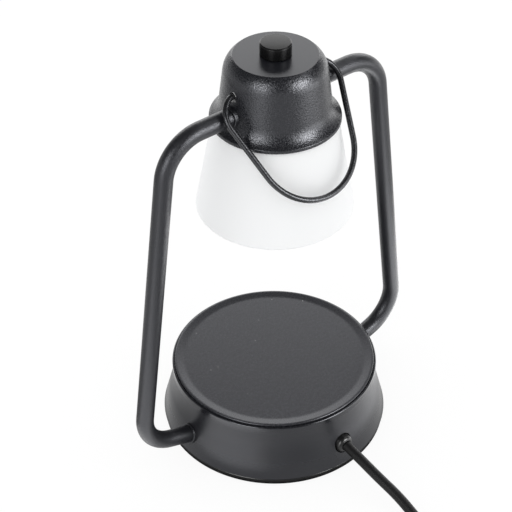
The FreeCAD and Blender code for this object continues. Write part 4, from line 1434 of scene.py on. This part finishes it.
@dataclass
class MainsLead(SubAssembly):
    """The mains lead as it lies, with its coil, its tie and its plug."""

    cord_r: float = CORD_R
    length: float = 1520.0
    route: tuple[Corner, ...] = (
        (0.0, -65.9, 17.0), (0.0, -78.0, 15.4), (0.3, -93.0, 12.65), (1.3, -108.5, 9.7),
        (0.6, -124.0, 5.95), (-0.6, -138.8, 3.35), (-2.0, -153.4, 3.05))
    tail: tuple[Corner, ...] = ((-89.2, -156.0, 9.1), (-88.6, -146.5, 8.1), (-87.0, -137.6, 7.0))
    coil_centre: tuple[float, float] = (-45.6, -172.0)
    coil_outer_r: float = 43.6
    coil_inner_r: float = 24.0
    layer_turns: float = 3.25
    layer_z: tuple[float, float] = (3.05, 9.1)
    points_per_turn: int = 16
    plug_x: float = -87.0
    plug_z: float = 7.0
    plug_rear: float = -137.6
    plug_shoulder: float = -119.6
    plug_face: float = -89.6
    plug_half: float = 11.0
    plug_grip: float = 12.0
    plug_shoulder_half: float = 6.5
    plug_bevel: float = 1.5
    ribs: int = 5
    rib_pitch: float = 2.6
    rib_half: float = 4.6
    rib_r: float = 0.75
    rib_from: float = 4.4
    grooves: int = 5
    groove_pitch: float = 3.4
    land: float = 2.2
    sleeve_r: float = 3.9
    sleeve_taper: float = 0.075
    sleeve_end_r: float = 5.2
    tie_angle: float = -62.0
    tie_width: float = 7.0
    tie_thickness: float = 0.6
    tie_slack: float = 2.2
    tie_rounding: float = 3.0

    def coil(self) -> list[Vector]:
        """Points of the coil: inwards on the surface, then outwards on top.

        Returns:
            The points in millimetres.
        """
        steps = round(self.layer_turns * self.points_per_turn)
        points = []
        for index in range(2 * steps + 1):
            share = index / steps
            inward = share if share <= 1.0 else 2.0 - share
            radius = self.coil_outer_r + (self.coil_inner_r - self.coil_outer_r) * inward
            angle = -2.0 * math.pi * index / self.points_per_turn
            climb = min(max((index - steps) / 4.0 + 0.5, 0.0), 1.0)
            height = self.layer_z[0] + (self.layer_z[1] - self.layer_z[0]) * climb
            points.append(Vector((self.coil_centre[0] + radius * math.cos(angle),
                                  self.coil_centre[1] + radius * math.sin(angle), height)))
        return points

    def cord(self) -> bpy.types.Object:
        """The lead as one smooth curve.

        Returns:
            The curve.
        """
        points = [Vector(p) for p in self.route] + self.coil() + [Vector(p) for p in self.tail]
        data = bpy.data.curves.new("mains_cord", "CURVE")
        data.dimensions = "3D"
        spline = data.splines.new("NURBS")
        spline.points.add(len(points) - 1)
        for place, point in zip(spline.points, points):
            place.co = (*(point * MM), 1.0)
        spline.order_u = 3
        spline.use_endpoint_u = True
        spline.resolution_u = 6
        data.bevel_depth = self.cord_r * MM
        data.bevel_resolution = 6
        data.use_fill_caps = True
        obj = bpy.data.objects.new("mains_cord", data)
        bpy.context.scene.collection.objects.link(obj)
        return obj

    def tie(self) -> bpy.types.Object:
        """Hook-and-loop strap that holds the coil, with its free end folded over.

        Returns:
            The strap.
        """
        half = self.tie_thickness / 2.0
        inner, outer = self.coil_inner_r - self.cord_r - half, self.coil_outer_r + self.tie_slack + half
        low, high = half + 0.02, self.layer_z[1] + self.cord_r + half
        corners = [(Vector((x, 0.0, z)), self.tie_rounding)
                   for x, z in ((inner, low), (outer, low), (outer, high), (inner, high))]
        line = [point for point, _ in rounded(corners, True, 0.2)]
        loop = ribbon("tie_loop", line, self.tie_width, self.tie_thickness, True)
        over = high + self.tie_thickness
        fold = [Vector((inner + 3.0, 0.0, over)), Vector((outer - 4.0, 0.0, over)),
                Vector((outer - 1.0, 0.0, over + 0.5))]
        tail = ribbon("tie_tail", fold, self.tie_width, self.tie_thickness, False)
        strap = joined("cord_tie", [loop, tail])
        moved(strap, Matrix.Rotation(math.radians(self.tie_angle), 4, "Z"))
        return moved(strap, Matrix.Translation((self.coil_centre[0] * MM, self.coil_centre[1] * MM, 0.0)))

    def relief(self) -> bpy.types.Object:
        """Tapered strain relief of the plug, with its grooves.

        Returns:
            The sleeve.
        """
        length = self.plug_shoulder - self.plug_rear + 1.0
        bore = self.cord_r + 0.02
        corners: list[Corner] = [(bore, 0.0)]
        for index in range(self.grooves):
            start = index * self.groove_pitch
            end = start + self.land
            low, high = self.sleeve_r + start * self.sleeve_taper, self.sleeve_r + end * self.sleeve_taper
            corners += [(low, start, 0.4), (high, end, 0.4)]
            corners += [(high - 0.7, end + 0.2), (high - 0.65, end + 1.0)]
        corners += [(self.sleeve_end_r, length), (bore, length)]
        sleeve = turned("plug_relief", corners, 64, 20.0)
        lay = Matrix.Translation((self.plug_x * MM, self.plug_rear * MM, self.plug_z * MM))
        return moved(sleeve, lay @ Matrix.Rotation(math.radians(-90.0), 4, "X"))

    def plug_shell(self) -> bpy.types.Object:
        """Body of the plug, which widens from its shoulders to its grip, with rounded edges.

        Returns:
            The body.
        """
        x, narrow, wide = self.plug_x, self.plug_shoulder_half, self.plug_half
        rear, grip, front = self.plug_shoulder, self.plug_face - self.plug_grip, self.plug_face
        outline = [(x - narrow, rear, 2.0), (x + narrow, rear, 2.0), (x + wide, grip, 8.0), (x + wide, front, 1.2),
                   (x - wide, front, 1.2), (x - wide, grip, 8.0)]
        points = [p for p, _ in rounded([(Vector((a, b, 0.0)), r) for a, b, r in outline], True, 0.2)]
        bm = bmesh.new()
        base = bm.faces.new([bm.verts.new(p * MM) for p in points])
        top = bmesh.ops.extrude_face_region(bm, geom=[base])["geom"]
        bmesh.ops.translate(bm, verts=[v for v in top if isinstance(v, bmesh.types.BMVert)],
                            vec=(0.0, 0.0, 2.0 * self.plug_z * MM))
        body = mesh_object("plug_shell", bm)
        bevel = body.modifiers.new("rounded", "BEVEL")
        bevel.width = self.plug_bevel * MM
        bevel.segments = 4
        bevel.angle_limit = math.radians(50.0)
        return baked(body)

    def plug(self) -> bpy.types.Object:
        """Moulded plug: body, grip ribs and strain relief.

        Returns:
            The plug.
        """
        body = self.plug_shell()
        middle = Vector((self.plug_x, self.plug_shoulder + self.rib_from, 2.0 * self.plug_z - 0.15))
        reach = Vector((self.rib_half, 0.0, 0.0))
        rib = cylinder("grip_rib", middle - reach, middle + reach, self.rib_r, 16)
        ribs = self.repeater.repeat(rib, self.ribs, self.painter.material(self.finishes.plug),
                                    Vector((0.0, self.rib_pitch, 0.0)))
        return joined("mains_plug", [body, self.relief(), ribs])

    def build(self) -> None:
        look = self.finishes
        cord = self.place(self.cord(), look.cord, "power_cord", "power_cord_coil", "cord_tail")
        plug = self.place(self.plug(), look.plug, "plug_body")
        tie = self.place(self.tie(), look.tie)
        self.dress(look.pins, "plug_blades")


# ---- Studio -------------------------------------------------------------------------------
@dataclass(frozen=True)
class Softbox:
    """A soft lamp: where it hangs, how wide and high it is and how bright its face is."""

    name: str
    azimuth: float
    elevation: float
    distance: float
    width: float
    height: float
    radiance: float


@dataclass(frozen=True)
class Card:
    """A bright card that lies on the floor and shows only in gloss."""

    name: str
    azimuth: float
    distance: float
    width: float
    depth: float
    radiance: float


@dataclass
class Studio:
    """Camera, soft lamps, white surroundings and floor."""

    position: Vector = field(default_factory=lambda: Vector((-0.42750, -0.51762, 0.65583)))
    target: Vector = field(default_factory=lambda: Vector((-0.00806, 0.00666, 0.11563)))
    roll: float = -0.0048255
    lens: float = 108.07
    sensor: float = 36.0
    middle: Vector = field(default_factory=lambda: Vector((0.0, 0.0, 0.13)))
    ambient: float = 1.03
    ceiling: float = 0.12
    ceiling_from: tuple[float, float] = (0.0, 0.35)
    floor_glow: float = 0.87
    floor_level: float = 1.025
    floor_reach: float = 4.0
    boxes: tuple[Softbox, ...] = (
        Softbox("behind", 50.0, 21.0, 1.5, 2.2, 1.0, 2.5),
        Softbox("left_core", -160.0, 27.0, 1.3, 0.5, 0.55, 7.0),
        Softbox("left_wide", -162.0, 21.0, 1.4, 1.0, 0.8, 2.2),
        Softbox("right_core", -70.0, 25.0, 1.3, 0.6, 0.6, 13.0),
        Softbox("right_wide", -74.0, 20.0, 1.4, 0.9, 0.7, 3.2),
        Softbox("over_right", -14.0, 52.0, 1.4, 1.2, 0.45, 2.0),
        Softbox("near_left", -158.0, 2.0, 0.62, 0.3, 0.28, 1.8),
        Softbox("near_right", -56.0, 2.0, 0.62, 0.5, 0.28, 3.2),
        Softbox("side_right", 2.0, -4.0, 0.6, 0.44, 0.17, 1.2))
    cards: tuple[Card, ...] = (
        Card("card_left", -162.0, 0.25, 0.15, 0.32, 1.6),
        Card("card_right", -32.0, 0.145, 0.34, 0.11, 3.1))
    dim_spots: tuple[tuple[float, float, float, float, float], ...] = (
        (0.0, 0.0, 0.066, 0.074, 0.05), (-0.135, 0.068, 0.03, 0.09, 0.35), (-0.50, 0.56, 0.15, 0.50, 0.15))

    def camera(self) -> None:
        """Set up the camera."""
        data = bpy.data.cameras.new("camera")
        data.sensor_width = self.sensor
        data.lens = self.lens
        data.clip_start = 0.01
        ahead = (self.target - self.position).normalized()
        side = ahead.cross(Vector((0.0, 0.0, 1.0))).normalized()
        up = side.cross(ahead)
        right = side * math.cos(self.roll) + up * math.sin(self.roll)
        above = up * math.cos(self.roll) - side * math.sin(self.roll)
        turn = Matrix((right, above, -ahead)).transposed().to_4x4()
        camera = bpy.data.objects.new("camera", data)
        camera.matrix_world = Matrix.Translation(self.position) @ turn
        bpy.context.scene.collection.objects.link(camera)
        bpy.context.scene.camera = camera

    def panel(self, name: str, width: float, height: float, radiance: float) -> bpy.types.Object:
        """A flat lamp that shows only in gloss, at the origin and facing down.

        Args:
            name: the lamp's name.
            width: its size along X.
            height: its size along Y.
            radiance: how bright its face is.

        Returns:
            The lamp.
        """
        data = bpy.data.lights.new(name, "AREA")
        data.shape = "RECTANGLE"
        data.size, data.size_y = width, height
        data.energy = math.pi * width * height * radiance
        lamp = bpy.data.objects.new(name, data)
        lamp.rotation_mode = "QUATERNION"
        lamp.visible_camera = False
        lamp.visible_diffuse = False
        lamp.visible_transmission = False
        bpy.context.scene.collection.objects.link(lamp)
        return lamp

    def hang(self, box: Softbox) -> None:
        """Hang a soft lamp so that it faces the middle of the object.

        Args:
            box: the lamp.
        """
        lamp = self.panel(box.name, box.width, box.height, box.radiance)
        turn, rise = math.radians(box.azimuth), math.radians(box.elevation)
        away = Vector((math.cos(turn) * math.cos(rise), math.sin(turn) * math.cos(rise), math.sin(rise)))
        lamp.location = self.middle + away * box.distance
        lamp.rotation_quaternion = (-away).to_track_quat("-Z", "Y")

    def lay(self, card: Card) -> None:
        """Lay a card on the floor, facing up.

        Args:
            card: the card.
        """
        lamp = self.panel(card.name, card.depth, card.width, card.radiance)
        turn = Matrix.Rotation(math.radians(card.azimuth), 4, "Z") @ Matrix.Rotation(math.pi, 4, "X")
        lamp.location = turn @ Vector((card.distance, 0.0, -MM))
        lamp.rotation_quaternion = turn.to_quaternion()

    def seen_rays(self, nodes: bpy.types.Nodes, links: bpy.types.NodeLinks) -> bpy.types.NodeSocket:
        """One for rays from the camera, from gloss and through glass.

        Args:
            nodes: the nodes of the world or of a material.
            links: its links.

        Returns:
            The socket with the value.
        """
        path = nodes.new("ShaderNodeLightPath")
        total = path.outputs["Is Camera Ray"]
        for label in ("Is Glossy Ray", "Is Transmission Ray"):
            add = nodes.new("ShaderNodeMath")
            add.operation = "MAXIMUM"
            links.new(total, add.inputs[0])
            links.new(path.outputs[label], add.inputs[1])
            total = add.outputs[0]
        return total

    def surroundings(self) -> None:
        """White world that lights the lamp softly."""
        world = bpy.data.worlds.new("studio")
        bpy.context.scene.world = world
        world.use_nodes = True
        nodes, links = world.node_tree.nodes, world.node_tree.links
        nodes.clear()
        soft, seen = nodes.new("ShaderNodeBackground"), nodes.new("ShaderNodeBackground")
        soft.inputs["Color"].default_value = WHITE
        soft.inputs["Strength"].default_value = self.ambient
        seen.inputs["Color"].default_value = WHITE
        height = nodes.new("ShaderNodeSeparateXYZ")
        links.new(nodes.new("ShaderNodeTexCoord").outputs["Generated"], height.inputs[0])
        ceiling = nodes.new("ShaderNodeMapRange")
        for label, value in zip(RANGE_SOCKETS, (*self.ceiling_from, 1.0, self.ceiling)):
            ceiling.inputs[label].default_value = value
        links.new(height.outputs["Z"], ceiling.inputs["Value"])
        glossy = nodes.new("ShaderNodeLightPath").outputs["Is Glossy Ray"]
        dim = nodes.new("ShaderNodeMix")
        links.new(glossy, dim.inputs["Factor"])
        dim.inputs["A"].default_value = 1.0
        links.new(ceiling.outputs[0], dim.inputs["B"])
        links.new(dim.outputs[0], seen.inputs["Strength"])
        mix, out = nodes.new("ShaderNodeMixShader"), nodes.new("ShaderNodeOutputWorld")
        links.new(self.seen_rays(nodes, links), mix.inputs[0])
        links.new(soft.outputs[0], mix.inputs[1])
        links.new(seen.outputs[0], mix.inputs[2])
        links.new(mix.outputs[0], out.inputs["Surface"])

    def dimmed(self, nodes: bpy.types.Nodes, links: bpy.types.NodeLinks, level: float) -> bpy.types.NodeSocket:
        """Glow of the floor, which gloss sees dimmed where the floor lies in the shade.

        Args:
            nodes: the nodes of the floor's material.
            links: its links.
            level: the glow elsewhere.

        Returns:
            The socket with the glow.
        """
        where = nodes.new("ShaderNodeTexCoord").outputs["Object"]
        total = None
        for x, y, inner, outer, dim in self.dim_spots:
            away = nodes.new("ShaderNodeVectorMath")
            away.operation = "DISTANCE"
            away.inputs[1].default_value = (x, y, 0.0)
            links.new(where, away.inputs[0])
            spot = nodes.new("ShaderNodeMapRange")
            spot.interpolation_type = "SMOOTHSTEP"
            for label, value in zip(RANGE_SOCKETS, (inner, outer, dim, 1.0)):
                spot.inputs[label].default_value = value
            links.new(away.outputs["Value"], spot.inputs["Value"])
            times = nodes.new("ShaderNodeMath")
            times.operation = "MULTIPLY"
            links.new(spot.outputs[0], times.inputs[0])
            times.inputs[1].default_value = level
            if total is not None:
                links.new(total, times.inputs[1])
            total = times.outputs[0]
        choice = nodes.new("ShaderNodeMix")
        links.new(nodes.new("ShaderNodeLightPath").outputs["Is Glossy Ray"], choice.inputs["Factor"])
        choice.inputs["A"].default_value = level
        links.new(total, choice.inputs["B"])
        return choice.outputs[0]

    def floor(self) -> None:
        """Plain white floor that keeps the lamp's shadow."""
        bm = bmesh.new()
        corners = ((-1, -1), (1, -1), (1, 1), (-1, 1))
        bm.faces.new([bm.verts.new((x * self.floor_reach, y * self.floor_reach, 0.0)) for x, y in corners])
        mesh = bpy.data.meshes.new("floor")
        bm.to_mesh(mesh)
        bm.free()
        floor = new_object("floor", mesh)
        material = bpy.data.materials.new("floor_white")
        material.use_nodes = True
        nodes, links = material.node_tree.nodes, material.node_tree.links
        nodes.clear()
        matt, glow = nodes.new("ShaderNodeBsdfDiffuse"), nodes.new("ShaderNodeEmission")
        matt.inputs["Color"].default_value = (0.9, 0.9, 0.9, 1.0)
        links.new(self.dimmed(nodes, links, self.floor_level), glow.inputs["Strength"])
        share = nodes.new("ShaderNodeMath")
        share.operation = "MULTIPLY"
        share.inputs[1].default_value = self.floor_glow
        links.new(self.seen_rays(nodes, links), share.inputs[0])
        mix, out = nodes.new("ShaderNodeMixShader"), nodes.new("ShaderNodeOutputMaterial")
        links.new(share.outputs[0], mix.inputs[0])
        links.new(matt.outputs[0], mix.inputs[1])
        links.new(glow.outputs[0], mix.inputs[2])
        links.new(mix.outputs[0], out.inputs["Surface"])
        mesh.materials.append(material)

    def build(self) -> None:
        """Set up the whole studio."""
        bpy.context.scene.view_settings.view_transform = "Standard"
        self.camera()
        self.surroundings()
        self.floor()
        for box in self.boxes:
            self.hang(box)
        for card in self.cards:
            self.lay(card)


def main() -> None:
    """Build every sub-assembly, then the studio."""
    logging.basicConfig(level=logging.INFO, format="%(name)s %(message)s")
    painter = Painter(ShaderKit())
    repeater = Repeater("copies")
    finishes = Finishes()
    for kind in (MainsLead, Base, SideTubes, Head, Shade, Bulb, Dimmer, Knob, Bail):
        made = kind(painter, repeater, finishes)
        made.build()
        made.report()
    Studio().build()


if __name__ == "__main__":
    main()
